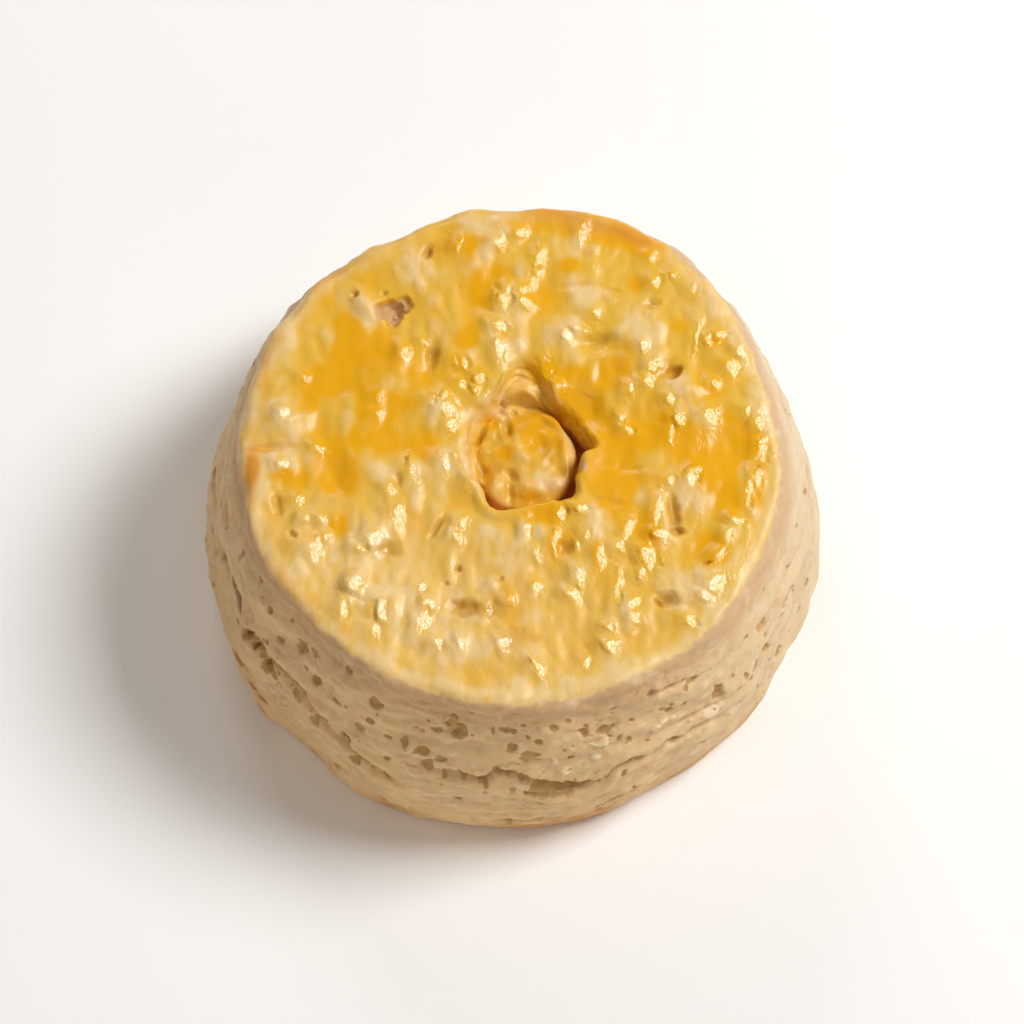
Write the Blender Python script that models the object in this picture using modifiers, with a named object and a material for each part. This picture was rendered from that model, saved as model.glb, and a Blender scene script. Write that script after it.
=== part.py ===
"""A round, thick, egg-glazed biscuit with a ring cut into the middle of its top, in metres, +Z up.

The origin is the middle of the flat underside, and -Y is the side that faces the viewer.
The dough is one piece: a small round cutter was pressed into the top, so a plug stands in the
middle, still joined to the crumb below it. The body is turned from one profile, then its points
are moved to give the uneven rim, the lumps of the glaze, the pits, and the split in the side.
"""

import math

import bpy
import numpy as np
from mathutils import Vector, noise

MM = 0.001

# Driving dimensions of the whole biscuit
HEIGHT = 28.0 * MM
RIM_RADIUS = 29.05 * MM
SHOULDER_ROUNDING = 2.0 * MM
BELLY_RADIUS = 34.0 * MM
BELLY_HEIGHT = 8.0 * MM
BASE_RADIUS = 33.0 * MM
BASE_ROUNDING = 1.5 * MM
WALL_CURVE = 1.4

# The ring cut and the plug inside it
HOLE_RADIUS = 7.0 * MM
HOLE_CENTRE = (1.6 * MM, 0.1 * MM)
LIP_ROUNDING = 1.4 * MM
GROOVE_FLOOR = 22.8 * MM
PLUG_RADIUS = 5.25 * MM
PLUG_CENTRE = (1.5 * MM, 1.1 * MM)
PLUG_TOP = 25.6 * MM
PLUG_DOME = 0.5 * MM
PLUG_ROUNDING = 0.9 * MM

# How finely the form is turned, and how many faces are kept of it
TURNED_STEPS = 168
TOP_ROWS = 22
WALL_ROWS = 34
KEPT_SHARE = 0.36

# Unevenness of the dough
LUMP_SIZE = 4.2 * MM
LUMP_HEIGHT = 0.75 * MM
SWELL_SIZE = 13.0 * MM
SWELL_HEIGHT = 0.5 * MM
BRUSH_SPACING = 1.9 * MM
BRUSH_HEIGHT = 0.12 * MM
WALL_CALM = 0.75
LAYER_HEIGHT = 0.5 * MM

# Where the rim stands out or falls back: azimuth in degrees, half width in degrees, millimetres
RIM_LOBES = [
    (15, 15, -0.85), (45, 6, -0.4), (60, 18, 0.7), (90, 6, -0.5), (118, 13, -1.0),
    (155, 13, 0.1), (205, 10, 0.4), (222, 9, -0.35), (317, 14, 0.3),
]
# The same for the belly and the base
BELLY_LOBES = [
    (22, 12, -0.5), (85, 25, 0.3), (150, 17, -1.1), (196, 9, -0.3), (212, 8, 0.5),
    (228, 6, -0.3), (246, 18, 0.65), (272, 7, 0.2), (302, 12, -0.4), (335, 10, -0.5),
]
# The same for the ring cut, which is anything but round
HOLE_LOBES = [
    (15, 24, 0.6), (92, 15, 2.4), (142, 26, 0.5), (200, 14, -0.4), (239, 15, 1.0),
    (285, 20, -1.0), (318, 11, 0.3), (350, 9, -0.8),
]

# Pits and dents of the top: x, y, half length, half width, turn in degrees, depth, all in mm
TOP_DENTS = [
    (-12.8, 16.9, 2.1, 1.3, 60, 1.5),
    (17.5, 9.2, 1.0, 0.8, 30, 1.3),
    (17.2, -9.3, 2.0, 0.9, 90, 1.2),
    (15.8, -17.5, 1.5, 0.8, 10, 1.1),
    (-5.1, -17.7, 1.8, 0.9, 5, 0.9),
    (-9.0, 11.2, 2.6, 1.2, 80, 0.7),
    (9.5, 12.4, 3.0, 1.7, 0, 0.7),
    (-23.5, -9.9, 1.1, 0.7, -40, 0.8),
    (-13.1, -10.5, 2.2, 1.4, 20, 0.6),
    (-8.3, -8.1, 1.6, 0.7, 40, 0.5),
    (-26.5, 0.2, 3.2, 0.7, 4, 0.9),
    (-9.5, 23.5, 1.4, 0.9, 70, 0.7),
    (6.6, -11.6, 1.6, 1.2, 60, 0.5),
]
# Plates and knobs that stand out of the top, in the same form
TOP_KNOBS = [
    (-15.5, 17.6, 3.2, 1.2, -45, 0.5),
    (-24.5, 3.5, 3.0, 2.4, 10, 0.5),
    (-2.4, -15.6, 1.4, 0.9, 30, 0.5),
    (19.1, 7.6, 1.5, 1.1, 0, 0.5),
    (-5.2, 15.0, 3.0, 2.0, 0, 0.3),
    (7.9, 21.0, 3.5, 1.8, 10, 0.35),
]
# Cavities of the side: azimuth in degrees, then height, half width, half height and depth in mm
WALL_CAVITIES = [
    (258, 23.2, 1.3, 1.1, 1.4),
    (237, 14.4, 0.9, 0.8, 1.3),
    (254, 17.2, 1.2, 1.0, 1.3),
    (277, 11.3, 3.0, 1.3, 1.5),
    (205, 14.6, 1.5, 1.4, 1.3),
    (216, 13.6, 1.6, 1.2, 1.4),
    (314, 20.5, 1.2, 0.7, 0.9),
    (20, 12.5, 2.2, 1.2, 1.2),
    (74, 15.0, 1.6, 1.1, 1.2),
    (101, 9.5, 2.6, 1.2, 1.3),
    (139, 17.0, 1.7, 1.1, 1.2),
    (168, 12.0, 2.0, 1.3, 1.3),
]
# The split that runs round the side: azimuth in degrees, height and depth in mm
SPLIT = [
    (8, 13.4, 0.1), (35, 14.6, 0.3), (60, 12.4, 0.9), (84, 11.2, 0.8), (104, 12.2, 0.2),
    (140, 14.2, 0.7), (163, 15.0, 0.9), (180, 15.9, 0.4), (198, 16.5, 0.8), (216, 14.0, 0.9),
    (226, 12.9, 0.5), (248, 12.4, 0.25), (262, 13.8, 0.3), (272, 13.2, 0.9), (282, 11.0, 1.2),
    (298, 13.0, 1.1), (310, 13.2, 0.9), (320, 11.8, 0.4), (338, 12.4, 0.1),
]
SPLIT_REACH = 4.2 * MM
SPLIT_LIP = 0.35 * MM


def arc(centre, radius, start, end, count):
    """Points along a circle, from one angle to another, in degrees from +X of the profile."""
    return [
        (centre[0] + radius * math.cos(turn), centre[1] + radius * math.sin(turn))
        for turn in np.radians(np.linspace(start, end, count))
    ]


def wall_radius(height):
    """Radius of the side: widest at the belly, leaning in to the rim and, a little, to the base."""
    if height < BELLY_HEIGHT:
        share = 1 - height / BELLY_HEIGHT
        return BELLY_RADIUS - (BELLY_RADIUS - BASE_RADIUS) * share**2
    share = (height - BELLY_HEIGHT) / (HEIGHT - BELLY_HEIGHT)
    return BELLY_RADIUS - (BELLY_RADIUS - RIM_RADIUS) * share**WALL_CURVE


def plug_profile():
    """From the plug's middle, over its dome and down its side into the groove."""
    edge = PLUG_RADIUS - PLUG_ROUNDING
    dome = [(r, PLUG_TOP - PLUG_DOME * (r / edge) ** 2) for r in np.linspace(0, edge, 8)]
    side = arc((edge, PLUG_TOP - PLUG_DOME - PLUG_ROUNDING), PLUG_ROUNDING, 70, 0, 4)
    return dome + side


def groove_profile():
    """Across the groove's floor, up the wall of the hole and over its lip."""
    floor_edge = HOLE_RADIUS - 0.6 * MM
    floor = [
        (PLUG_RADIUS + 0.1 * MM, GROOVE_FLOOR + 0.7 * MM),
        (PLUG_RADIUS + 0.3 * MM, GROOVE_FLOOR + 0.1 * MM),
        (PLUG_RADIUS + 0.7 * MM, GROOVE_FLOOR),
        (floor_edge, GROOVE_FLOOR + 0.1 * MM),
        (HOLE_RADIUS - 0.3 * MM, GROOVE_FLOOR + 0.7 * MM),
        (HOLE_RADIUS - 0.1 * MM, GROOVE_FLOOR + 2.2 * MM),
    ]
    lip = arc((HOLE_RADIUS + LIP_ROUNDING, HEIGHT - LIP_ROUNDING), LIP_ROUNDING, 180, 96, 6)
    return floor + lip


def outside_profile():
    """Out across the top, over the shoulder, down the side and in under the base."""
    shoulder_height = HEIGHT - SHOULDER_ROUNDING
    shoulder_radius = wall_radius(shoulder_height) - SHOULDER_ROUNDING
    base_radius = wall_radius(BASE_ROUNDING) - BASE_ROUNDING
    top = [
        (r, HEIGHT)
        for r in np.linspace(HOLE_RADIUS + 2.2 * LIP_ROUNDING, shoulder_radius, TOP_ROWS)
    ]
    shoulder = arc((shoulder_radius, shoulder_height), SHOULDER_ROUNDING, 72, 0, 5)
    heights = np.linspace(shoulder_height, BASE_ROUNDING, WALL_ROWS + 2)[1:-1]
    side = [(wall_radius(z), z) for z in heights]
    base = arc((base_radius, BASE_ROUNDING), BASE_ROUNDING, 0, -90, 5)
    underside = [(base_radius * share, 0) for share in (0.75, 0.4, 0)]
    return top + shoulder + side + base + underside


def turned_mesh():
    """The smooth body: the whole profile, from the top's middle to the underside's, turned."""
    profile = plug_profile() + groove_profile() + outside_profile()
    outline = bpy.data.meshes.new("profile")
    outline.from_pydata(
        [(r, 0, z) for r, z in profile],
        [(i, i + 1) for i in range(len(profile) - 1)],
        [],
    )
    turned = bpy.data.objects.new("profile", outline)
    bpy.context.scene.collection.objects.link(turned)
    screw = turned.modifiers.new("turn", "SCREW")
    screw.steps = screw.render_steps = TURNED_STEPS
    screw.use_merge_vertices = True
    screw.merge_threshold = 0.01 * MM
    bpy.context.view_layer.update()
    graph = bpy.context.evaluated_depsgraph_get()
    mesh = bpy.data.meshes.new_from_object(turned.evaluated_get(graph))
    bpy.data.objects.remove(turned)
    bpy.data.meshes.remove(outline)
    mesh.name = "biscuit"
    return mesh


def smooth_step(low, high, value):
    """0 below low, 1 above high, and a soft rise between."""
    share = np.clip((value - low) / (high - low), 0, 1)
    return share * share * (3 - 2 * share)


def hump(distance):
    """1 in the middle, falling softly to 0 at a distance of 1."""
    return np.clip(1 - distance**2, 0, 1) ** 2


def lobes(azimuth, table):
    """The sum of the table's swellings at each azimuth, in metres."""
    total = np.zeros_like(azimuth)
    for middle, half_width, amount in table:
        off = (azimuth - middle + 180) % 360 - 180
        total += amount * MM * hump(off / (1.6 * half_width))
    return total


def uneven_noise(points, size, seed):
    """Soft noise of about -1 to 1, whose lumps are as wide as size."""
    shift = Vector((seed, 2.3 * seed, -1.7 * seed))
    return np.array([noise.noise(Vector(p) / size + shift) for p in points])


def place_hole(points):
    """Moves the ring cut and its plug to their centres, and gives the cut its uneven outline."""
    radius = np.hypot(points[:, 0], points[:, 1])
    azimuth = np.degrees(np.arctan2(points[:, 1], points[:, 0])) % 360
    upper = smooth_step(10 * MM, 20 * MM, points[:, 2])
    in_wall = smooth_step(PLUG_RADIUS + 0.25 * MM, HOLE_RADIUS - 0.6 * MM, radius)
    fading = 1 - smooth_step(HOLE_RADIUS + 2 * MM, 2.9 * HOLE_RADIUS, radius)
    outline = lobes(azimuth, HOLE_LOBES) * in_wall * fading * upper
    points[:, :2] *= (1 + outline / np.maximum(radius, MM))[:, None]
    for axis in (0, 1):
        middle = PLUG_CENTRE[axis] + (HOLE_CENTRE[axis] - PLUG_CENTRE[axis]) * in_wall
        points[:, axis] += middle * fading * upper
    nook = hump((azimuth - 92) / 30) * hump((radius - 6.15 * MM) / (0.95 * MM))
    points[:, 2] += 2.3 * MM * nook * upper


def uneven_outline(points):
    """Pushes the rim and the belly in and out, each by its own lobes."""
    radius = np.hypot(points[:, 0], points[:, 1])
    azimuth = np.degrees(np.arctan2(points[:, 1], points[:, 0])) % 360
    upper = smooth_step(11 * MM, 25 * MM, points[:, 2])
    push = lobes(azimuth, RIM_LOBES) * upper + lobes(azimuth, BELLY_LOBES) * (1 - upper)
    push *= smooth_step(0.55 * RIM_RADIUS, 0.97 * RIM_RADIUS, radius)
    points[:, :2] *= (1 + push / np.maximum(radius, MM))[:, None]


def spots(points, table):
    """The sum of the table's oval spots of the top, in metres."""
    total = np.zeros(len(points))
    for x, y, half_length, half_width, turn, amount in table:
        across = points[:, 0] / MM - x
        up = points[:, 1] / MM - y
        cosine, sine = math.cos(math.radians(turn)), math.sin(math.radians(turn))
        along = (across * cosine + up * sine) / (1.5 * half_length)
        aside = (up * cosine - across * sine) / (1.5 * half_width)
        total += amount * MM * hump(np.hypot(along, aside))
    return total


def top_relief(points):
    """Lumps, brushed ridges, plates and pits of the glazed top."""
    ridges = np.sin(2 * math.pi * points[:, 0] / BRUSH_SPACING)
    ridges = ridges * BRUSH_HEIGHT * uneven_noise(points, 3 * BRUSH_SPACING, 9)
    return ridges + spots(points, TOP_KNOBS) - spots(points, TOP_DENTS)


def split_relief(azimuth, height):
    """The split: its upper lip stands proud, and the layer below starts well back and swells out."""
    around = [row[0] for row in SPLIT]
    middle = np.interp(azimuth, around, [row[1] * MM for row in SPLIT], period=360)
    depth = np.interp(azimuth, around, [row[2] * MM for row in SPLIT], period=360)
    below = middle - height
    lip = SPLIT_LIP * hump(below / (2.4 * MM)) * (below < 0)
    back = depth * smooth_step(0, 0.5 * MM, below)
    return lip - back * (1 - smooth_step(0.8 * MM, SPLIT_REACH, below))


def wall_relief(points):
    """The split, the torn cavities and the soft layers of the side."""
    azimuth = np.degrees(np.arctan2(points[:, 1], points[:, 0])) % 360
    relief = split_relief(azimuth, points[:, 2])
    for middle, height, half_width, half_height, depth in WALL_CAVITIES:
        off = (azimuth - middle + 180) % 360 - 180
        along = np.radians(off) * BELLY_RADIUS / (1.4 * half_width * MM)
        up = (points[:, 2] - height * MM) / (1.4 * half_height * MM)
        relief -= depth * MM * hump(np.hypot(along, up))
    flat = points * [0.45, 0.45, 1.6]
    return relief + LAYER_HEIGHT * uneven_noise(flat, LUMP_SIZE, 4)


def raise_relief(points, normals):
    """Moves each point along the surface's own direction by the relief of its place."""
    radius = np.hypot(points[:, 0], points[:, 1])
    clear_of_base = smooth_step(0, 2.5 * MM, points[:, 2])
    on_wall = smooth_step(RIM_RADIUS - 1 * MM, RIM_RADIUS + 1 * MM, radius) * clear_of_base
    on_top = smooth_step(0.3, 0.8, normals[:, 2]) * smooth_step(15 * MM, 24 * MM, points[:, 2])
    clear_of_groove = smooth_step(0, 0.5 * MM, np.abs(radius - 6.3 * MM) - 0.9 * MM)
    relief = LUMP_HEIGHT * uneven_noise(points, LUMP_SIZE, 1)
    relief += SWELL_HEIGHT * uneven_noise(points, SWELL_SIZE, 2)
    relief *= clear_of_base * clear_of_groove * (1 - WALL_CALM * on_wall)
    relief += top_relief(points) * on_top + wall_relief(points) * on_wall
    points += normals * relief[:, None]


def dough():
    """Pale baked crumb under a thin egg glaze."""
    material = bpy.data.materials.new("glazed_dough")
    material.use_nodes = True
    shader = material.node_tree.nodes["Principled BSDF"]
    shader.inputs["Base Color"].default_value = (0.74, 0.46, 0.13, 1)
    shader.inputs["Roughness"].default_value = 0.4
    shader.inputs["Metallic"].default_value = 0
    return material


def build_biscuit():
    mesh = turned_mesh()
    points = np.empty(len(mesh.vertices) * 3)
    normals = np.empty(len(mesh.vertices) * 3, np.float32)
    mesh.vertices.foreach_get("co", points)
    mesh.vertex_normals.foreach_get("vector", normals)
    points, normals = points.reshape(-1, 3), normals.reshape(-1, 3).astype(float)
    raise_relief(points, normals)
    uneven_outline(points)
    place_hole(points)
    mesh.vertices.foreach_set("co", points.ravel())
    mesh.update()
    mesh.shade_smooth()
    mesh.materials.append(dough())
    collection = bpy.data.collections.new("biscuit")
    bpy.context.scene.collection.children.link(collection)
    biscuit = bpy.data.objects.new("biscuit", mesh)
    collection.objects.link(biscuit)
    fewer = biscuit.modifiers.new("fewer faces", "DECIMATE")
    fewer.ratio = KEPT_SHARE
    fewer.use_collapse_triangulate = True


for leftover in list(bpy.data.objects):
    bpy.data.objects.remove(leftover)
build_biscuit()
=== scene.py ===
# %% [markdown]
# # A glazed biscuit with a cut ring
#
# The object is one disc of soft dough, stamped out with a round cutter, marked in the middle with a
# smaller cutter, brushed with egg and baked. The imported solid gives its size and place. This lesson
# builds the fine skin that replaces it: a glossy cap, a pale crumbly side and a browned sole.
#
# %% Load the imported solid
import math
import random

import bpy
import numpy as np
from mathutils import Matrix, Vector, noise


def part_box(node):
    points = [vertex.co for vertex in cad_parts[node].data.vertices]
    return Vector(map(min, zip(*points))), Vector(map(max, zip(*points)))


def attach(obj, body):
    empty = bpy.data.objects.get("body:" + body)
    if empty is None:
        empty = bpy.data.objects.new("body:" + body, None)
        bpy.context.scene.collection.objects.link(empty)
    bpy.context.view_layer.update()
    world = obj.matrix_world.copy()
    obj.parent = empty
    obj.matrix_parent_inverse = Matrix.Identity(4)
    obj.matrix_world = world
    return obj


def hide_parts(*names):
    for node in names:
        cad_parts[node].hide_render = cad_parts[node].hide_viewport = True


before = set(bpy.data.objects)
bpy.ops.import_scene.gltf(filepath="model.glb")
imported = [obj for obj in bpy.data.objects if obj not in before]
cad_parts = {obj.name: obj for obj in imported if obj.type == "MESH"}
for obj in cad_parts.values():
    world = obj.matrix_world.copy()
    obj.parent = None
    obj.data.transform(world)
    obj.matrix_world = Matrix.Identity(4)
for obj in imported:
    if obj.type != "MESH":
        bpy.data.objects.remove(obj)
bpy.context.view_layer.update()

MM = 0.001
low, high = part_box("biscuit")
print("solid across, deep, tall in mm:", [round((b - a) / MM, 1) for a, b in zip(low, high)])

# %% [markdown]
# ## The camera
#
# The photograph looks down on the biscuit at about 67 degrees with a long lens: the round rim is drawn
# as an ellipse whose height is 0.92 of its width, and its near and far parts are drawn at nearly the
# same scale. A long lens is copied by standing far off with a narrow view. The camera is aimed below
# the middle of the rim, because the side of the biscuit shows under the rim.
#
# %% Camera
TOP_HEIGHT = 28.0
CAMERA_ELEVATION = math.radians(66.8)
CAMERA_DISTANCE = 515.4
LENS, SENSOR_WIDTH = 168.75, 36
MM_PER_PIXEL = 0.10737
RIM_RIGHT_OF_CENTRE, RIM_ABOVE_CENTRE = 0.8, 62.2


def new_object(name, data):
    """An object in the scene."""
    thing = bpy.data.objects.new(name, data)
    bpy.context.scene.collection.objects.link(thing)
    return thing


back = Vector((0, -math.cos(CAMERA_ELEVATION), math.sin(CAMERA_ELEVATION)))
screen_up = Vector((0, math.sin(CAMERA_ELEVATION), math.cos(CAMERA_ELEVATION)))
rim_middle = Vector((0, 0, TOP_HEIGHT))
aim = rim_middle - screen_up * RIM_ABOVE_CENTRE * MM_PER_PIXEL
aim.x -= RIM_RIGHT_OF_CENTRE * MM_PER_PIXEL

camera_data = bpy.data.cameras.new("camera")
camera_data.lens = LENS
camera_data.sensor_width = SENSOR_WIDTH
camera_data.clip_start, camera_data.clip_end = 0.01, 20
camera = new_object("camera", camera_data)
camera.location = (rim_middle + back * CAMERA_DISTANCE) * MM
camera.rotation_euler = (aim * MM - camera.location).to_track_quat("-Z", "Y").to_euler()
bpy.context.scene.camera = camera
print("camera height in mm:", round(camera.location.z / MM))

# %% [markdown]
# ## The floor
#
# The floor is plain white paper, a tenth of a millimetre below the biscuit. One function makes all the
# materials: a second function, its look, makes the nodes and returns the inputs of the shader.
#
# %% Floor
FLOOR_HALF_WIDTH, FLOOR_GAP, FLOOR_ROUGHNESS = 1.5, 0.1, 0.9
WHITE = (1.0, 1.0, 1.0)


def set_inputs(tree, node, values):
    """Gives each named input of a node a constant or another node's output."""
    for name, value in values.items():
        if isinstance(value, bpy.types.NodeSocket):
            tree.links.new(value, node.inputs[name])
        else:
            node.inputs[name].default_value = value


def new_material(name, look):
    """A material; look makes the nodes in its tree and gives the inputs of its shader."""
    material = bpy.data.materials.new(name)
    material.use_nodes = True
    tree = material.node_tree
    set_inputs(tree, tree.nodes["Principled BSDF"], look(tree))
    return material


def paper_look(tree):
    """Plain white paper."""
    return {"Base Color": (*WHITE, 1), "Roughness": FLOOR_ROUGHNESS}


def add_floor():
    """A large square just under the biscuit, which is only part of the stage."""
    mesh = bpy.data.meshes.new("floor")
    side, below = FLOOR_HALF_WIDTH, low.z - FLOOR_GAP * MM
    corners = [(-side, -side, below), (side, -side, below), (side, side, below), (-side, side, below)]
    mesh.from_pydata(corners, [], [(0, 1, 2, 3)])
    mesh.materials.append(new_material("floor_paper", paper_look))
    floor = new_object("floor", mesh)


add_floor()
print("floor below the biscuit in mm:", FLOOR_GAP)

# %% [markdown]
# ## The light
#
# The right side of the biscuit is bright, the front is in half shade and the left is darkest, so the
# main lamp stands on the right, half way up. Its size decides the glints on the glaze: a small lamp
# gives sharp sparks. A weak lamp behind, a warm one at the upper left and a low warm one in front give
# each side its own brightness. A pale world fills the rest of the shadows.
#
# %% Lamps and world
WARM, WARMER = (1.0, 0.86, 0.70), (1.0, 0.83, 0.62)
WORLD_COLOUR, WORLD_STRENGTH = (1.0, 0.96, 0.92), 0.16
LAMPS = [  # name, azimuth, elevation, distance, size, power, colour
    ("key", 18, 50, 0.9, 0.34, 6.8, WHITE),
    ("back window", 105, 30, 0.9, 0.3, 1.3, WHITE),
    ("upper left fill", 210, 66, 1.0, 0.5, 0.95, WARM),
    ("front card", 272, 16, 0.9, 0.5, 1.2, WARMER),
]


def add_lamp(name, azimuth, elevation, distance, size, power, colour):
    """A square lamp that looks at the biscuit; azimuth 0 is on the right, 90 behind it."""
    turn, lift = math.radians(azimuth), math.radians(elevation)
    towards = Vector((math.cos(turn) * math.cos(lift), math.sin(turn) * math.cos(lift), math.sin(lift)))
    light = bpy.data.lights.new(name, "AREA")
    light.size, light.energy, light.color = size, power, colour
    lamp = new_object(name, light)
    lamp.location = towards * distance + rim_middle * MM
    lamp.rotation_euler = towards.to_track_quat("Z", "Y").to_euler()


def set_world():
    """Soft light from all round."""
    world = bpy.data.worlds.new("world")
    world.use_nodes = True
    light = {"Color": (*WORLD_COLOUR, 1), "Strength": WORLD_STRENGTH}
    set_inputs(world.node_tree, world.node_tree.nodes["Background"], light)
    bpy.context.scene.world = world


for lamp in LAMPS:
    add_lamp(*lamp)
set_world()
bpy.context.scene.view_settings.view_transform = "Standard"

# %% [markdown]
# ## The turned profile
#
# The biscuit is nearly round, so its skin starts as one line that is turned: from the middle of the
# plug, down into the ring cut, over the lip, out across the top, over the shoulder, down the side and
# in under the sole. Arcs and short formulas give the line. It is then walked in even steps, so that
# every ring of points is as far from the next as the detail needs.
#
# %% Profile
RIM_RADIUS, SHOULDER_ROUNDING = 29.05, 1.4
BELLY_RADIUS, BELLY_HEIGHT, WALL_CURVE = 34.0, 8.0, 1.4
BASE_RADIUS, BASE_ROUNDING = 33.0, 1.5
HOLE_RADIUS, HOLE_CENTRE, LIP_ROUNDING = 7.0, (1.6, 0.1), 0.9
GROOVE_FLOOR = 23.2
PLUG_RADIUS = 5.25
PLUG_TOP, PLUG_DOME, PLUG_ROUNDING = 25.6, 0.5, 0.9
CAP_STEP, SIDE_STEP, SOLE_STEP = 0.215, 0.2, 0.6
ARC_POINTS, WALL_POINTS, PLUG_POINTS = 24, 60, 12


def arc(centre, radius, start, end):
    """Points along a circle, from one angle to another in degrees."""
    turns = np.radians(np.linspace(start, end, ARC_POINTS))
    return [(centre[0] + radius * math.cos(t), centre[1] + radius * math.sin(t)) for t in turns]


def wall_radius(height):
    """Radius of the side: widest at the belly, leaning in to the rim and a little to the base."""
    if height < BELLY_HEIGHT:
        share = 1 - height / BELLY_HEIGHT
        return BELLY_RADIUS - (BELLY_RADIUS - BASE_RADIUS) * share**2
    share = (height - BELLY_HEIGHT) / (TOP_HEIGHT - BELLY_HEIGHT)
    return BELLY_RADIUS - (BELLY_RADIUS - RIM_RADIUS) * share**WALL_CURVE


def cap_line():
    """From the middle of the plug to the lower edge of the shoulder."""
    edge = PLUG_RADIUS - PLUG_ROUNDING
    plug = [(r, PLUG_TOP - PLUG_DOME * (r / edge) ** 2) for r in np.linspace(0, edge, PLUG_POINTS)]
    plug += arc((edge, PLUG_TOP - PLUG_DOME - PLUG_ROUNDING), PLUG_ROUNDING, 75, 0)
    groove = [
        (PLUG_RADIUS + 0.1, GROOVE_FLOOR + 0.7),
        (PLUG_RADIUS + 0.3, GROOVE_FLOOR + 0.1),
        (PLUG_RADIUS + 0.7, GROOVE_FLOOR),
        (HOLE_RADIUS - 0.6, GROOVE_FLOOR + 0.1),
        (HOLE_RADIUS - 0.3, GROOVE_FLOOR + 0.7),
        (HOLE_RADIUS - 0.1, GROOVE_FLOOR + 2.2),
    ]
    lip = arc((HOLE_RADIUS + LIP_ROUNDING, TOP_HEIGHT - LIP_ROUNDING), LIP_ROUNDING, 180, 90)
    height = TOP_HEIGHT - SHOULDER_ROUNDING
    shoulder = arc((wall_radius(height) - SHOULDER_ROUNDING, height), SHOULDER_ROUNDING, 90, 0)
    return plug + groove + lip + shoulder


def side_line():
    """From the lower edge of the shoulder to the underside's edge."""
    heights = np.linspace(TOP_HEIGHT - SHOULDER_ROUNDING, BASE_ROUNDING, WALL_POINTS)
    wall = [(wall_radius(z), z) for z in heights]
    return wall + arc((wall_radius(BASE_ROUNDING) - BASE_ROUNDING, BASE_ROUNDING), BASE_ROUNDING, 0, -90)


def sole_line():
    return [(wall_radius(BASE_ROUNDING) - BASE_ROUNDING, 0), (0, 0)]


def walk(line, step):
    """The line resampled at even steps, and the direction across it at each point."""
    line = np.array(line, float)
    gaps = np.hypot(*np.diff(line, axis=0).T)
    line = line[np.concatenate([[True], gaps > 1e-6])]
    reach = np.concatenate([[0], np.cumsum(np.hypot(*np.diff(line, axis=0).T))])
    places = np.linspace(0, reach[-1], round(reach[-1] / step) + 1)
    points = np.column_stack([np.interp(places, reach, line[:, axis]) for axis in (0, 1)])
    ahead = np.gradient(points, axis=0)
    across = np.column_stack([-ahead[:, 1], ahead[:, 0]])
    return points, across / np.linalg.norm(across, axis=1)[:, None]


cap, cap_across = walk(cap_line(), CAP_STEP)
side, side_across = walk(side_line(), SIDE_STEP)
sole, sole_across = walk(sole_line(), SOLE_STEP)
print("rings of the cap, side and sole:", len(cap), len(side), len(sole))

# %% [markdown]
# ## Turning the line into rings
#
# A Screw modifier would give every ring as many points as the widest one, and most would crowd round
# the middle. Here a ring has half as many points wherever they would come closer than a tenth of a
# millimetre. Where a ring meets one with half as many, three triangles join each pair of steps. The
# three parts share their border rings, so the skin has no gap.
#
# %% Rings
WIDEST_RING = 1024
CLOSEST_POINTS = 0.105
FEWEST = 32


def ring_count(radius):
    """Points in a ring of this radius: halved while they crowd, and one at the axis."""
    if radius < 0.01:
        return 1
    count = WIDEST_RING
    while count > FEWEST and 2 * math.pi * radius / count < CLOSEST_POINTS:
        count //= 2
    return count


def ring_faces(first, first_count, second, second_count):
    """Faces between two rings, given the number of each ring's first point."""
    faces = []
    if first_count == second_count:
        for i in range(first_count):
            j = (i + 1) % first_count
            faces.append((first + i, second + i, second + j, first + j))
    elif first_count == 1:
        faces += [(first, second + i, second + (i + 1) % second_count) for i in range(second_count)]
    elif second_count == 1:
        faces += [(first + i, second, first + (i + 1) % first_count) for i in range(first_count)]
    elif second_count == 2 * first_count:
        for i in range(first_count):
            a, b = first + i, first + (i + 1) % first_count
            c, d, e = (second + k % second_count for k in (2 * i, 2 * i + 1, 2 * i + 2))
            faces += [(a, c, d), (a, d, b), (b, d, e)]
    else:
        for i in range(second_count):
            a, b = second + i, second + (i + 1) % second_count
            c, d, e = (first + k % first_count for k in (2 * i, 2 * i + 1, 2 * i + 2))
            faces += [(c, a, d), (d, a, b), (d, b, e)]
    return faces


line = np.concatenate([cap, side[1:], sole[1:]])
across = np.concatenate([cap_across, side_across[1:], sole_across[1:]])
counts = [ring_count(radius) for radius in line[:, 0]]
firsts = np.concatenate([[0], np.cumsum(counts)])
angles = np.concatenate([2 * np.pi * np.arange(n) / n for n in counts])
ring_of = np.repeat(np.arange(len(counts)), counts)
radius, height = line[ring_of, 0], line[ring_of, 1]
points = np.column_stack([radius * np.cos(angles), radius * np.sin(angles), height])
outward = np.column_stack([
    across[ring_of, 0] * np.cos(angles), across[ring_of, 0] * np.sin(angles), across[ring_of, 1],
])
cap_last, side_last = len(cap) - 1, len(cap) + len(side) - 2
print("points of the whole skin:", len(points))

# %% [markdown]
# ## Tools for uneven shapes
#
# Everything that makes the biscuit look baked is a number worked out at each point: how far to push
# it, how much egg lies there, how brown it is. A few tools make those numbers. Soft noise gives lumps
# of a chosen size, and a hump is a single soft hill.
#
# %% Noise and humps
azimuth = np.degrees(angles)
everywhere = np.ones(len(points), bool)


def smooth_step(low_end, high_end, value):
    """0 below the low end, 1 above the high end, and a soft rise between."""
    share = np.clip((value - low_end) / (high_end - low_end), 0, 1)
    return share * share * (3 - 2 * share)


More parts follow.
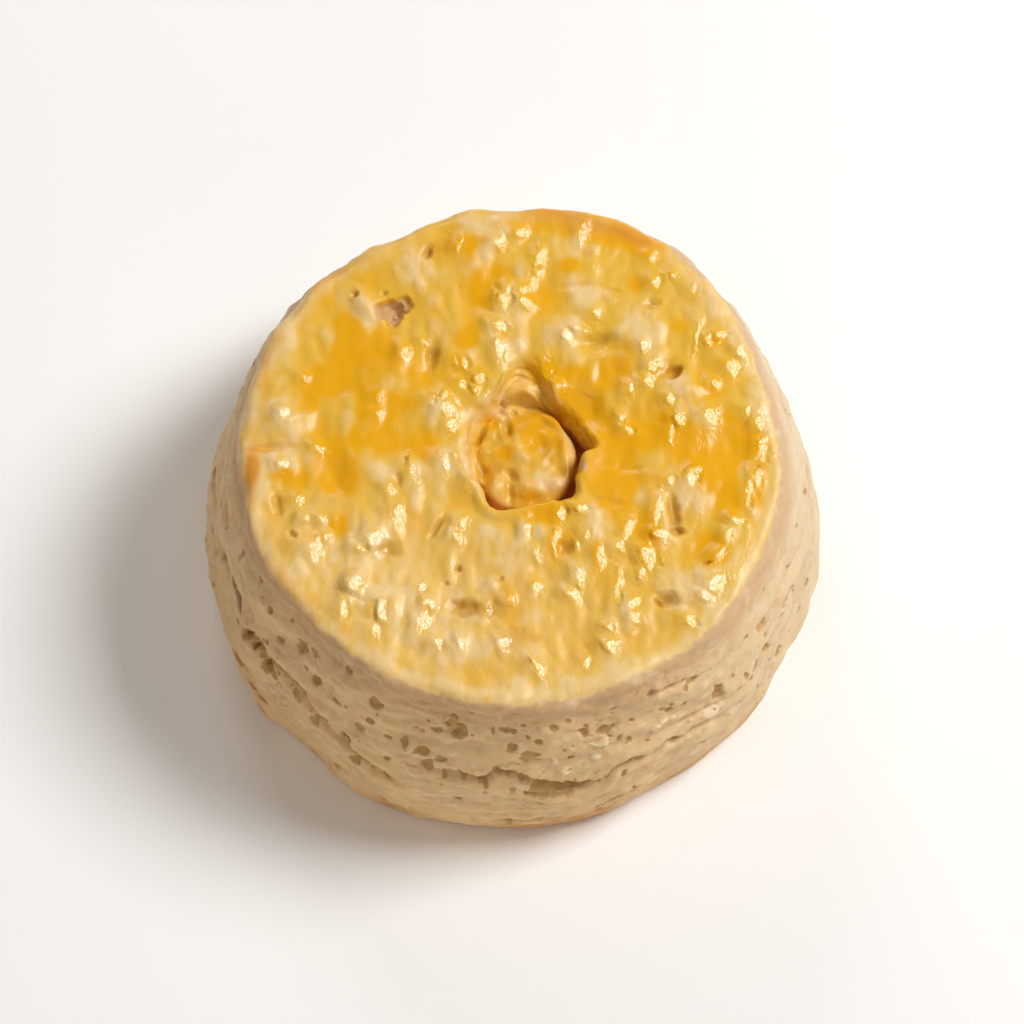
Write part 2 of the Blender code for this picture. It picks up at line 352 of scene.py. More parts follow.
def hump(distance):
    """1 in the middle, falling softly to 0 at a distance of 1."""
    return np.clip(1 - distance**2, 0, 1) ** 2


def soft_noise(size, seed, where=everywhere):
    """Soft noise of about -1 to 1 at each point; size is a lump's width in mm, or three widths."""
    scaled = points[where] / np.asarray(size, float) + np.array([seed, 2.3 * seed, -1.7 * seed])
    values = np.zeros(len(points))
    values[where] = [noise.noise(p) for p in scaled.tolist()]
    return values


def noises(table, where=everywhere):
    """The sum of several soft noises: size, seed, amount."""
    return sum(amount * soft_noise(size, seed, where) for size, seed, amount in table)


print("noise at the first point:", round(float(soft_noise(4.0, 1)[0]), 3))

# %% [markdown]
# ## Tools that read tables
#
# A table of bearings says how something changes round the biscuit, either by swellings or by values in
# between which it runs straight. A spot is an oval hump at a place on the top. Swellings and spots fade
# out a little past the edge that their tables give. An oval with a wall has a steep edge instead.
#
# %% Table tools
SWELLING_REACH, SPOT_REACH = 1.6, 1.5
SOFTEST_EDGE = 0.6


def bearing_gap(middle):
    """Degrees from a bearing, between -180 and 180, at every point."""
    return (azimuth - middle + 180) % 360 - 180


def swellings(table):
    """The sum of the table's swellings: bearing, half width in degrees, millimetres."""
    total = np.zeros(len(points))
    for middle, half_width, amount in table:
        total += amount * hump(bearing_gap(middle) / (SWELLING_REACH * half_width))
    return total


def round_table(table, column, blur):
    """A column of a table of bearings, read at every point and blurred over a few degrees."""
    bearings = [row[0] for row in table]
    values = [row[column] for row in table]
    shifts = (-blur, 0, blur)
    return sum(np.interp(azimuth + shift, bearings, values, period=360) for shift in shifts) / len(shifts)


def turned(right, up, turn):
    """The same offset, along and across an axis that is turned by so many degrees."""
    cosine, sine = math.cos(math.radians(turn)), math.sin(math.radians(turn))
    return right * cosine + up * sine, up * cosine - right * sine


def spot_distance(x, y, half_length, half_width, turn):
    """Distance from a spot's middle, 1 at its oval edge."""
    along, aside = turned(points[:, 0] - x, points[:, 1] - y, turn)
    return np.hypot(along / half_length, aside / half_width)


def spots(table, ragged=0):
    """The sum of the table's soft oval spots: x, y, half length, half width, turn, amount."""
    total = np.zeros(len(points))
    for *spot, amount in table:
        total += amount * hump(np.maximum(spot_distance(*spot) + ragged, 0) / SPOT_REACH)
    return total


def inside_oval(distance, wall_width, half_length, half_width):
    """1 in an oval and 0 outside, with a wall about so many mm wide, or narrower in a small oval."""
    soft = min(SOFTEST_EDGE, wall_width / min(half_length, half_width))
    return 1 - smooth_step(1 - soft, 1 + soft, distance)


print("points on the front right:", int((abs(bearing_gap(315)) < 45).sum()))

# %% [markdown]
# ## The uneven outline
#
# No cutter leaves a perfect circle, and the dough leans as it rises. The rim and the belly are pushed
# in and out separately, so the side is steep in one place and sloping in the next.
#
# %% Outline
RIM_SWELLINGS = [
    (15, 15, -0.85), (45, 6, -0.4), (60, 18, 0.7), (90, 6, -0.5), (118, 13, -1), (155, 13, 0.1),
    (205, 10, 0.4), (222, 9, -0.35), (317, 14, 0.3),
]
BELLY_SWELLINGS = [
    (22, 12, -0.5), (85, 25, 0.3), (150, 17, -1.1), (196, 9, -0.3), (212, 8, 0.5), (228, 6, -0.3),
    (246, 18, 0.65), (272, 7, 0.2), (302, 12, -0.4), (335, 10, -0.5),
]
RIM_TAKES_OVER = (11, 25)
TOP_MOVES = (0.55 * RIM_RADIUS, 0.97 * RIM_RADIUS)


def uneven_outline():
    """Pushes the rim and the belly in and out, each by its own swellings."""
    upper = smooth_step(*RIM_TAKES_OVER, height)
    push = swellings(RIM_SWELLINGS) * upper + swellings(BELLY_SWELLINGS) * (1 - upper)
    push *= smooth_step(*TOP_MOVES, radius)
    points[:, :2] *= (1 + push / np.maximum(radius, 1))[:, None]


uneven_outline()
print("across after the outline, in mm:", np.ptp(points[:, 0]).round(1))

# %% [markdown]
# ## The ring cut and its plug
#
# The small cutter was pressed into the soft top and pulled out again, so the plug inside stayed
# behind, sunken. It leans on the wall in front and on the left, and stands free on the right, where
# the cut gapes, browned and with painted shade low in it. At the back the cut runs into a nook with a
# ball of dough in it. A row gives a bearing, the radii of wall and plug, how far the cut is open, and
# how much its lip flares.
#
# %% Table of the cut
CUT = [
    (0, 5.7, 5.2, 0.8, 0.3), (3, 6.9, 5.2, 1, 0.3), (8, 6.75, 5.2, 1, 0.3), (20, 6.15, 5.2, 0.9, 0.5),
    (36, 5.85, 5.25, 0.75, 0.7), (50, 5.75, 5.4, 0.6, 0.8), (64, 6.1, 5.8, 0.5, 0.8),
    (76, 7.5, 6.1, 0.45, 0.7), (85, 8.9, 6.25, 0.5, 0.6), (94, 9.6, 6.35, 0.45, 0.6),
    (99, 9.5, 6.45, 0.35, 0.6), (105, 8.4, 6.5, 0.2, 0.8), (112, 7.2, 6.5, 0.15, 1),
    (118, 6.6, 6.4, 0.1, 1), (128, 6.2, 5.8, 0, 0.9), (140, 5.8, 5.3, 0, 1.5), (156, 5.7, 5.2, 0, 1.3),
    (170, 5.7, 5.2, 0, 1.2), (182, 5.9, 5.3, 0, 0.9), (197, 6.1, 5.6, 0.1, 0.4),
    (212, 6.5, 5.8, 0.4, -0.1), (224, 6.9, 5.8, 0.8, -0.2), (234, 7.6, 5.8, 1, -0.2),
    (243, 7.9, 5.8, 1, -0.25), (251, 7.5, 5.8, 1, -0.2), (262, 6.7, 5.8, 0.5, -0.1),
    (279, 6.1, 5.5, 0.3, 0), (292, 5.9, 5.45, 0.35, 0), (302, 6.7, 5.4, 0.9, 0.1),
    (310, 7.2, 5.35, 1, 0.1), (318, 7, 5.3, 1, 0.1), (328, 6, 5.25, 1, 0.1), (338, 5.75, 5.2, 0.6, 0.1),
    (352, 5.5, 5.15, 0.45, 0),
]
CUT_BLUR = 2
WALL_WAVES = [(1.8, 31, 0.28), (0.7, 32, 0.12)]
PLUG_WAVES = [(1.4, 33, 0.15)]

UPPER_PART = (10, 20)
GROOVE_MIDDLE, GROOVE_HALF_WIDTH = 6.2, 1.3
FADES_BEYOND = (HOLE_RADIUS + 2, 2.9 * HOLE_RADIUS)

near_cut = radius < HOLE_RADIUS + 5
above_middle = smooth_step(*UPPER_PART, height)
in_cut = hump((radius - GROOVE_MIDDLE) / GROOVE_HALF_WIDTH) * (height > UPPER_PART[0])
fading = 1 - smooth_step(*FADES_BEYOND, radius)
open_share = round_table(CUT, 3, CUT_BLUR)
print("bearings at which the cut is given:", len(CUT))

# %% [markdown]
# ## Giving the cut its outline
#
# The turned groove is round and in the middle. Here its wall and plug take the radii of the table and
# move to their place. Where the cut is closed, its floor is raised to the plug's edge and faces up.
#
# %% Outline of the cut


def cut_radius():
    """The radius that the plug, the groove and the top outside it get at every point."""
    wall = round_table(CUT, 1, CUT_BLUR) + noises(WALL_WAVES, near_cut)
    plug = round_table(CUT, 2, CUT_BLUR) + noises(PLUG_WAVES, near_cut)
    flare = round_table(CUT, 4, CUT_BLUR) * (radius > HOLE_RADIUS - 0.5)
    flare = flare * smooth_step(GROOVE_FLOOR + 0.3, TOP_HEIGHT, height)
    in_groove = (line[:, 0] > PLUG_RADIUS - 0.01) & (line[:, 0] < HOLE_RADIUS) & (line[:, 1] > 20)
    groove_rings = np.where(in_groove)[0]
    spread = np.clip((ring_of - groove_rings[0]) / np.ptp(groove_rings), 0, 1)
    across_cut = np.clip((radius - PLUG_RADIUS) / (HOLE_RADIUS - PLUG_RADIUS), 0, 1)
    across_cut = open_share * across_cut + (1 - open_share) * spread
    groove = plug + across_cut * (wall - plug) + flare
    outside = radius + (wall - HOLE_RADIUS + flare) * fading
    inside = np.where(radius < PLUG_RADIUS, radius * plug / PLUG_RADIUS, groove)
    return np.where(radius < HOLE_RADIUS, inside, outside)


def cut_ring():
    """Moves the cut to its outline and place, and fills it where it is closed."""
    stretch = (cut_radius() - radius) * above_middle / np.maximum(radius, 0.1)
    points[:, :2] *= (1 + stretch)[:, None]
    points[:, :2] += np.array(HOLE_CENTRE) * (fading * above_middle)[:, None]
    below_edge = np.clip(PLUG_TOP - PLUG_DOME - points[:, 2], 0, 3) * (radius < HOLE_RADIUS)
    closed = (1 - open_share) * above_middle
    points[:, 2] += below_edge * closed
    filled = (closed * (below_edge > 0))[:, None]
    outward[:] = outward * (1 - filled) + np.array([0, 0, 1]) * filled
    outward[:] /= np.linalg.norm(outward, axis=1)[:, None]


cut_ring()
print("lowest point of the cut in mm:", points[in_cut > 0.5, 2].min().round(1))

# %% [markdown]
# ## Plug, lip and nook
#
# The plug is tilted up to the right. The lip is a little raised in front, and sinks in like a funnel
# on the right, at the back and on the left. The ball in the nook rises from the groove's floor.
#
# %% Plug, lip and nook
PLUG_TILT = 0.07
SHARP_LIP = [(245, 60, 0.35)]
FUNNEL = [(42, 22, -1.1), (88, 14, -0.6), (150, 30, -0.5)]
FUNNEL_REACH = 4.4
NOOK_BALL = (1.15, 7.2, 2.4, 2.3, -15, 2.9)


def tilt_plug():
    """Lifts the right side of the plug."""
    on_plug = 1 - smooth_step(PLUG_RADIUS - 0.5, PLUG_RADIUS + 1, radius)
    points[:, 2] += PLUG_TILT * np.maximum(points[:, 0] - HOLE_CENTRE[0], 0) * on_plug * above_middle


def shape_lip():
    """Sharpens the lip in front and lets it sink in at the funnels."""
    points[:, 2] += swellings(SHARP_LIP) * hump(radius - HOLE_RADIUS - 0.7) * above_middle
    near_lip = hump((radius - HOLE_RADIUS) / FUNNEL_REACH) * (radius > HOLE_RADIUS - 0.6)
    points[:, 2] += swellings(FUNNEL) * near_lip * smooth_step(GROOVE_FLOOR, TOP_HEIGHT, height)


def fill_nook():
    """Raises the ball of dough from the floor of the groove."""
    in_groove = smooth_step(PLUG_RADIUS, PLUG_RADIUS + 0.6, radius)
    in_groove = in_groove * (1 - smooth_step(HOLE_RADIUS - 0.1, HOLE_RADIUS + 0.8, radius))
    points[:, 2] += spots([NOOK_BALL]) * in_groove * above_middle


tilt_plug()
shape_lip()
fill_nook()
print("highest point near the cut in mm:", points[in_cut > 0.5, 2].max().round(1))

# %% [markdown]
# ## What the photograph shows on the top
#
# Egg wash runs into the hollows and hardens there, so the top has rounded lumps with soft valleys.
# Over them lies what the photograph shows at certain places, as ovals: torn pits, brown dents (a few of
# them painted shade in the crevices by the nook), soft dents, low plates, and the dents and knobs of the
# plug. A row gives x, y, half length, half width, turn, and depth or height.
#
# %% Ovals on the top
TORN_PITS = [
    (-13.5, 16.7, 1.4, 1, 20, 1.1), (-12.2, 17.2, 1.2, 0.9, 30, 0.6), (-12.9, 15.5, 0.9, 0.6, 60, 0.7),
    (17.4, 9.1, 0.8, 0.6, 40, 0.9), (17.5, -9.4, 0.7, 0.4, -10, 0.6), (-23.5, -9.9, 0.55, 0.25, -40, 0.4),
    (-5.8, -13.6, 0.3, 0.3, 0, 0.4), (-7.1, -15.3, 0.25, 0.2, 0, 0.3), (-9.3, 23.3, 0.6, 0.35, 70, 0.4),
    (-1.3, -14.9, 0.3, 0.3, 0, 0.3), (-17.2, 18.4, 0.4, 0.25, 60, 0.4), (15.4, -17.7, 0.6, 0.25, -50, 0.4),
    (20.6, -13.2, 0.5, 0.15, 20, 0.4), (-14, 18.6, 0.35, 0.2, 60, 0.35), (26.4, -2, 0.2, 0.35, 0, 0.3),
]
BROWN_AND_SHADED_DENTS = [
    (-3.6, -18.3, 2.8, 1, -5, 0.4), (0.2, -21.5, 1.6, 1.2, 0, 0.25), (-5.4, -18.1, 1.3, 0.9, 0, 0.5),
    (17.2, -7.4, 2.2, 0.6, 95, 0.6), (16.3, -17.3, 1.2, 0.8, -10, 0.55), (-8.7, 11.2, 1.7, 0.6, 80, 0.6),
    (-25.2, -6.3, 1.2, 0.5, 100, 0.4), (-12.3, -3.6, 0.8, 0.45, 90, 0.4), (-13.1, -11.5, 1.2, 1.1, 0, 0.4),
    (-8.1, -8.8, 1.5, 0.35, 60, 0.45), (5.6, -11.3, 1.1, 0.8, 30, 0.4), (16.9, 9.3, 1.5, 1.1, 40, 0.35),
    (9.2, 13, 1.8, 0.8, 10, 0.3), (-17.5, 18.4, 1, 0.5, 60, 0.3), (-3.9, -3.2, 0.8, 0.4, 0, 0.2),
    # painted shade: the rows at (-1.2, 6.3), (0.1, 5.5) and (1.7, 9.7) darken the crevices round the nook's
    # ball
    (-9.4, 23.6, 0.9, 0.5, 60, 0.35), (15, 17.2, 1, 0.5, 20, 0.3), (-1.2, 6.3, 0.5, 0.25, -20, 0.35),
    (0.1, 5.5, 0.3, 0.3, 0, 0.35), (-3.4, 3, 0.5, 1.2, -10, 0.3), (-14.6, 16.2, 0.9, 0.8, 0, 0.2),
    (-0.7, 3.5, 0.9, 0.55, 90, 0.35), (-3.4, -0.9, 1.3, 0.5, 105, 0.35), (-3.9, 2.9, 0.5, 1.2, 0, 0.3),
    (2.9, -4.6, 1.6, 0.5, 10, 0.15), (-2.9, -2.2, 0.7, 1.3, 20, 0.3), (-1.6, 2.6, 0.4, 0.9, 10, 0.2),
    (1.7, 9.7, 1.3, 0.45, -15, 0.3),
]
SOFT_DENTS = [
    (9.5, 12.4, 2.4, 1.2, 0, 0.35), (-26.5, 0.2, 2.6, 0.5, 4, 0.35), (-16.9, 11.4, 2.9, 2, 20, 0.4),
    (11, 8.9, 2, 1.6, 0, 0.35), (22.5, 0.2, 2.4, 3.4, 10, 0.35), (6.9, 19.4, 1.9, 0.35, 8, 0.25),
    (10.5, 18.9, 1.2, 0.35, -10, 0.25), (-18.9, -3, 1.6, 2.4, 0, 0.3), (12.4, -2.1, 2.2, 0.5, 0, 0.15),
    (10.2, -6.2, 2.2, 0.55, -8, 0.2), (-17, -17, 1.6, 0.35, -25, 0.3),
]
PLATES = [
    (-15.9, 17.2, 3.2, 1.2, -42, 0.45), (-24.5, 3.2, 2.7, 2.1, 10, 0.55),
    (-2.4, -15.6, 1.3, 0.8, 30, 0.45), (19.1, 7.2, 1.6, 1.1, 0, 0.4), (-5.2, 15.2, 2.4, 1.5, 0, 0.3),
    (7.9, 21.4, 3, 1.5, 10, 0.3), (-22.9, -11, 1.8, 1.4, 0, 0.4), (-14.5, -9, 1.5, 1.3, 20, 0.4),
    (-17, -15.5, 1.2, 2.6, -20, 0.4), (-13, -18.5, 1.1, 2, -10, 0.4), (-9, -17, 1, 1.9, -10, 0.35),
    (-9.5, -22, 1.5, 1.1, 0, 0.35),
]
PLUG_SPOTS = [
    (-0.25, -2, 0.9, 0.55, -50, -0.6), (-0.35, -3.7, 1.5, 0.45, 95, -0.35),
    (-1.7, -3.3, 1.2, 1.2, 0, 0.45), (1.5, -3.4, 1.4, 1.1, 0, 0.35), (0, 1.5, 0.8, 0.5, 0, 0.2),
    (-0.6, 3.7, 0.4, 1.1, 10, -0.35), (-1.6, 5.6, 0.9, 0.35, -25, -0.5), (5.6, 0.2, 0.6, 2.6, 6, 0.4),
    (4.4, 4.4, 0.6, 1.6, 45, 0.3), (2.6, 1.6, 1, 1.3, 20, -0.25), (-3, 0.8, 1.2, 0.7, 10, 0.35),
    (4.6, -2.8, 0.9, 0.8, 0, 0.3),
]
print("ovals on the top:", sum(map(len, (TORN_PITS, BROWN_AND_SHADED_DENTS, SOFT_DENTS, PLATES, PLUG_SPOTS))))

# %% [markdown]
# ## Relief of the glazed top
#
# The larger lumps are soft noise. The knobs are noise whose sign is taken away, which leaves round
# hills with narrow valleys. Long thin noise gives the faint ridges where the brush passed. A torn pit
# has a steep ragged wall and a flat floor.
#
# %% Relief of the top
SWELL_SIZE, SWELL_HEIGHT = 13.0, 0.35
LUMP_SIZE, LUMP_HEIGHT = 4.4, 0.42
KNOB_SIZE, KNOB_HEIGHT = (1.9, 2.7, 2.7), 0.31
DIMPLE_SIZE, DIMPLE_HEIGHT = 1.1, 0.05
BRUSH_SIZE, BRUSH_HEIGHT = (1.4, 4.0, 4.0), 0.11
RIM_BUMP_SIZE, RIM_BUMP_HEIGHT = 4.5, 0.4
VALLEY_ROUNDING, HILL_MEAN = 0.02, 0.25
PIT_TATTER = [(0.9, 8, 0.25), (0.45, 9, 0.15)]
PIT_WALL = 0.28
FACES_UP, TOP_PART = (0.3, 0.8), (15, 24)

near_top = height > 14
on_top = smooth_step(*FACES_UP, outward[:, 2]) * smooth_step(*TOP_PART, height)


def round_hills(size, seed, where):
    """Noise with its sign taken away: round hills with narrower valleys, about 0 in the mean."""
    return np.sqrt(soft_noise(size, seed, where) ** 2 + VALLEY_ROUNDING) - HILL_MEAN


def torn(table):
    """Pits with ragged walls and a flat floor, and how deep inside them each point is."""
    ragged = noises(PIT_TATTER, near_top)
    depth, inside = np.zeros(len(points)), np.zeros(len(points))
    for *spot, amount in table:
        within = inside_oval(spot_distance(*spot) + ragged, PIT_WALL, *spot[2:4])
        depth += amount * within
        inside = np.maximum(inside, within)
    return depth * near_top, inside * near_top


swell = SWELL_HEIGHT * soft_noise(SWELL_SIZE, 2)
lumps = LUMP_HEIGHT * soft_noise(LUMP_SIZE, 1)
knobs = KNOB_HEIGHT * round_hills(KNOB_SIZE, 5, near_top)
dimples = DIMPLE_HEIGHT * round_hills(DIMPLE_SIZE, 7, near_top)
brushed = BRUSH_HEIGHT * soft_noise(BRUSH_SIZE, 6, near_top)
at_rim = hump((radius - RIM_RADIUS) / 1.6) * smooth_step(20, 25, height)
rim_bumps = RIM_BUMP_HEIGHT * soft_noise(RIM_BUMP_SIZE, 10, near_top) * at_rim
pit_depth, in_pit = torn(TORN_PITS)
print("deepest pit in mm:", pit_depth.max().round(2))

# %% [markdown]
# ## Glints
#
# The egg glints where its slope mirrors the lamp on the right, mostly on the sunny side of a small
# bump. The photograph's glints are listed with x, y, half length, half width and turn.
#
# %% Glints
GLINTS = [
    (-11.5, 11.4, 0.8, 0.5, 90), (-14.4, 6.2, 0.8, 0.3, 90), (-14.4, 4.2, 0.6, 0.3, 90),
    (-7, 4.9, 1.3, 0.7, 100), (-6.6, 2.9, 0.7, 0.4, 90), (-5.1, 10.1, 0.6, 0.4, 90),
    (-5.3, 7.8, 0.7, 0.4, 120), (-3.5, 8.4, 0.7, 0.7, 90), (-3.7, 7, 0.7, 0.6, 90),
    (-6.1, 10.4, 0.6, 0.3, 90), (-7.3, 6.3, 0.4, 0.8, 150), (-8.6, 5.9, 0.6, 0.3, 90),
    (-1.4, 14.5, 0.6, 0.8, 70), (-1.5, 11.9, 1.3, 0.4, 100), (-0.8, 17.5, 1, 0.7, 100),
    (-0.5, 18.9, 0.7, 0.3, 80), (1.3, 18.8, 0.6, 0.4, 90), (1.7, 17.3, 0.5, 1, 60),
    (3.1, 22.8, 1.7, 0.6, 70), (-1.2, 24.5, 0.8, 0.5, 70), (-5.8, 24.2, 1.1, 0.3, 70),
    (0.9, 25.6, 0.4, 0.6, 90), (7.8, 25.8, 1.3, 0.4, 90), (3.5, 10.7, 0.5, 0.7, 120),
    (3.8, 9, 0.5, 0.7, 120), (5.1, 7.3, 0.3, 0.7, 90), (6, 13.5, 0.7, 0.6, 90), (7, 14.2, 0.3, 0.7, 100),
    (9.1, 16.1, 0.5, 0.5, 120), (15.3, 23.1, 0.7, 0.4, 60), (15.7, 19.9, 0.8, 0.6, 70),
    (17.5, 20.7, 0.4, 0.4, 90), (19.8, 19.1, 0.7, 0.3, 90), (20, 13.3, 1.5, 0.3, 80),
    (21.4, 12.8, 0.7, 0.6, 110), (22.6, 13.4, 0.3, 1, 110), (24.7, 11.5, 0.7, 0.7, 135),
    (23.8, 9.7, 0.7, 0.7, 130), (14.1, 12, 0.8, 0.3, 90), (15.3, 9.7, 0.8, 0.4, 80),
    (14.7, 7.9, 0.6, 0.6, 110), (12.8, 7.2, 0.8, 0.3, 80), (17, 5.8, 0.6, 0.6, 70),
    (21.4, 3.9, 1, 0.6, 100), (18, 3.4, 0.8, 0.7, 70), (17.1, 2.1, 1, 0.4, 80), (11.7, 3.7, 0.7, 0.3, 110),
    (12.5, 2.5, 0.4, 0.7, 60), (25.3, 4.4, 0.6, 0.4, 90), (26.6, 2.9, 1.1, 0.3, 100),
    (21.9, 7.8, 0.4, 0.3, 90), (26.9, 0.2, 1.3, 0.6, 90), (25.3, -5, 1.7, 0.3, 90),
    (26.4, -3.1, 1.3, 0.4, 90), (19.2, -3.2, 1, 0.7, 90), (19.9, -2.4, 0.6, 0.4, 90),
    (15.6, -7, 2.1, 0.3, 85), (15.7, -10, 0.6, 0.8, 90), (14.5, -12.5, 1.3, 1, 110),
    (13.7, -14.2, 0.7, 0.4, 70), (11.3, -15.6, 1.7, 0.3, 90), (12.3, -9.4, 1.4, 0.4, 80),
    (11.5, -11.4, 0.7, 0.3, 110), (9.4, -12.4, 1.1, 0.3, 90), (7, -14.7, 1.3, 0.3, 95),
    (7.9, -10.1, 0.7, 0.3, 70), (23, -10.1, 1, 0.3, 80), (22.1, -12.1, 1, 0.3, 50),
    (21.6, -15.6, 1.3, 0.8, 60), (20.6, -17.1, 0.6, 0.7, 90), (18.8, -19.8, 0.5, 0.8, 70),
    (13.2, -19.4, 0.8, 0.3, 90), (12.9, -17.7, 0.8, 0.3, 70), (10.2, -20.5, 0.4, 0.6, 90),
    (7.4, -7, 0.4, 0.8, 90), (16.9, -3.6, 0.5, 0.5, 90), (24.1, -8.3, 0.3, 0.7, 80),
    (6.1, -16.7, 0.4, 0.6, 90), (10.4, -22.6, 0.7, 0.8, 90), (8, -24.3, 0.7, 0.4, 90),
    (2.7, -25.1, 1.3, 0.4, 125), (-0.7, -22.2, 0.7, 0.6, 90), (1.7, -9.1, 0.7, 0.3, 90),
    (2.6, -12.1, 0.8, 0.3, 90), (2.7, -15.7, 0.6, 0.5, 90), (4.5, -10.9, 1.5, 0.3, 90),
    (5.2, -7.4, 0.7, 0.6, 90), (6.9, -11.1, 0.6, 0.3, 90), (-10.8, -2.5, 1.3, 0.4, 100),
    (-12.3, -7.4, 1, 0.5, 90), (-13.1, -4.6, 0.7, 0.3, 70), (-14.8, -10.7, 0.8, 0.8, 60),
    (-16.1, -11.6, 0.3, 0.7, 90), (-20.8, -11.5, 1.4, 0.4, 90), (-20.1, -8.2, 0.4, 0.7, 70),
    (-16.7, -15.6, 1.1, 0.6, 70), (-17.9, -18.5, 1.1, 0.6, 90), (-13.8, -18.8, 1.3, 0.6, 90),
    (-14.3, -20.8, 0.7, 0.6, 90), (-8.7, -18, 0.7, 0.7, 90), (-9.3, -19.6, 1.3, 0.4, 75),
    (-5.3, -8.4, 0.8, 0.4, 70), (-5.8, -10.1, 0.6, 0.5, 70), (-7.1, -1.5, 1.1, 0.6, 90),
    (-6.2, -1, 1, 0.3, 90), (-24.6, -1.8, 0.7, 0.6, 120), (-20.8, 0.2, 0.4, 0.7, 70),
    (-24.5, 4.1, 0.7, 0.7, 90), (-22.3, 8.5, 0.4, 0.3, 90), (-9.6, 12.7, 0.4, 0.3, 90),
    (-22.8, -5.9, 0.6, 0.6, 90), (-21.9, -8, 0.4, 0.4, 90), (-9.5, -15.9, 0.7, 0.5, 90),
    (-4.5, -4.2, 0.6, 0.5, 90), (-19.9, -10.2, 0.4, 0.4, 90), (-5.5, -22.3, 0.7, 0.4, 90),
    (-7.8, -22.2, 0.6, 0.4, 90), (-2.4, -18.7, 0.6, 0.3, 90), (-0.1, -17.3, 0.4, 0.3, 90),
]
print("glints:", len(GLINTS))

# %% [markdown]
# ## Bumps that catch the light
#
# Each glint gets a soft bump with the glint on its side, and a small ragged patch there takes exactly
# the slope that mirrors the lamp. The patches are turned last, when all the rest of the top is known.
#
# %% Bumps for the glints
GLINT_SLOPE = (-0.36, 0.11)
BUMP_SCALE, BUMP_MARGIN, BUMP_STEEPNESS = 0.5, 0.5, 0.5
PATCH_TATTER = [(0.9, 38, 0.35), (0.5, 41, 0.3)]
PATCH_EDGE, HALO_EDGE, HALO_SHARE = (0.75, 1.35), (1.3, 2.8), 0.85
FAR_AWAY = 99


def sunny_bumps():
    """Soft bumps, each with its side towards the lamp where a glint is."""
    steepness = math.hypot(*GLINT_SLOPE)
    uphill = [part / steepness for part in GLINT_SLOPE]
    lift = np.zeros(len(points))
    for x, y, half_length, half_width, turn in GLINTS:
        size = (BUMP_SCALE * half_length + BUMP_MARGIN, BUMP_SCALE * half_width + BUMP_MARGIN)
        along, aside = turned(*uphill, turn)
        reach = 1 / math.hypot(along / size[0], aside / size[1])
        distance = spot_distance(x + uphill[0] * reach, y + uphill[1] * reach, *size, turn)
        lift = np.maximum(lift, BUMP_STEEPNESS * reach * np.exp(-0.5 * distance**2))
    return lift * near_top


def face_the_lamp(lift):
    """Turns a small patch of the top towards the lamp at each glint; also says where they are."""
    ragged = noises(PATCH_TATTER, near_top)
    inside, halo = np.zeros(len(points)), np.zeros(len(points))
    for x, y, *shape in GLINTS:
        distance = np.where(near_top, spot_distance(x, y, *shape), FAR_AWAY)
        within = (1 - smooth_step(*PATCH_EDGE, distance + ragged)) * on_top
        slope = GLINT_SLOPE[0] * (points[:, 0] - x) + GLINT_SLOPE[1] * (points[:, 1] - y)
        lift = lift * (1 - within) + within * (lift[np.argmin(distance)] + slope)
        inside = np.maximum(inside, within)
        halo = np.maximum(halo, 1 - smooth_step(*HALO_EDGE, distance + ragged))
    return lift, np.maximum(inside, HALO_SHARE * halo * on_top)


bumps = sunny_bumps()
print("highest bump in mm:", bumps.max().round(2))

# %% [markdown]
# ## The split and the creases
#
# Soft dough splits as it rises. Here the split runs round the side at half height: the layer above
# has a sharp lip that stands proud, and the layer below starts well back and swells out again. Shorter
# creases run above and below it. A row gives a bearing, the height, how far back the crease goes and
# how far down.
#
# %% Split and creases
SPLIT = [
    (8, 13.4, 0.1, 3), (35, 14.6, 0.4, 3), (60, 12.4, 1, 3), (84, 11.2, 0.9, 3), (104, 12.2, 0.3, 3),
    (128, 14.2, 0.8, 2.6), (150, 15.4, 1, 2.4), (163, 16.6, 0.6, 2.2), (175, 17.8, 0.7, 2),
    (183, 17.5, 1, 2), (187, 17.6, 1, 2), (191, 16.5, 0.7, 1.8), (194, 15.9, 0.3, 1.8),
    (197, 17.2, 0.1, 2), (200, 17.6, 0.1, 3), (203, 17.3, 0.1, 3.4), (206, 16.8, 0.15, 3.2),
    (209, 16.3, 0.5, 2), (211, 18, 0.7, 3.4), (213, 18, 0.7, 3.4), (214.5, 17.7, 0.6, 2.8),
    (216, 16.7, 0.5, 2.8), (218, 16.9, 0.5, 2.4), (219.5, 16.6, 0.4, 1.6), (222, 16.3, 0.4, 1.6),
    (225, 16.8, 0.6, 2), (227, 16.5, 0.7, 2.2), (230, 15.7, 0.7, 2.4), (235, 15, 0.6, 2.2),
    (240, 13.6, 0.6, 2), (244, 12.9, 0.5, 1.8), (248, 12.3, 0.3, 1.8), (252, 12.6, 0, 2),
    (255, 15.8, 0, 2), (258, 16.4, 0.45, 2), (261, 16.6, 0.5, 2), (264, 15.4, 0.5, 2),
    (267, 17.3, 0.6, 2.2), (270, 17, 0.5, 2.2), (274, 15.5, 0.6, 2.6), (278, 14.1, 0.8, 2.8),
    (283, 12.8, 0.75, 2.4), (287, 12.8, 0.55, 1.8), (290, 14.8, 0.55, 1.6), (293, 15, 0.55, 1.6),
    (297, 13.7, 0.55, 1.6), (300, 14.8, 0.5, 1.6), (303, 13.8, 0.45, 1.6), (306, 13.8, 0.4, 1.6),
    (309, 13.5, 0.4, 2), (313, 12.3, 0.25, 2), (320, 11.8, 0.2, 2), (338, 12.4, 0.15, 3),
    (368, 13.4, 0.1, 3),
]
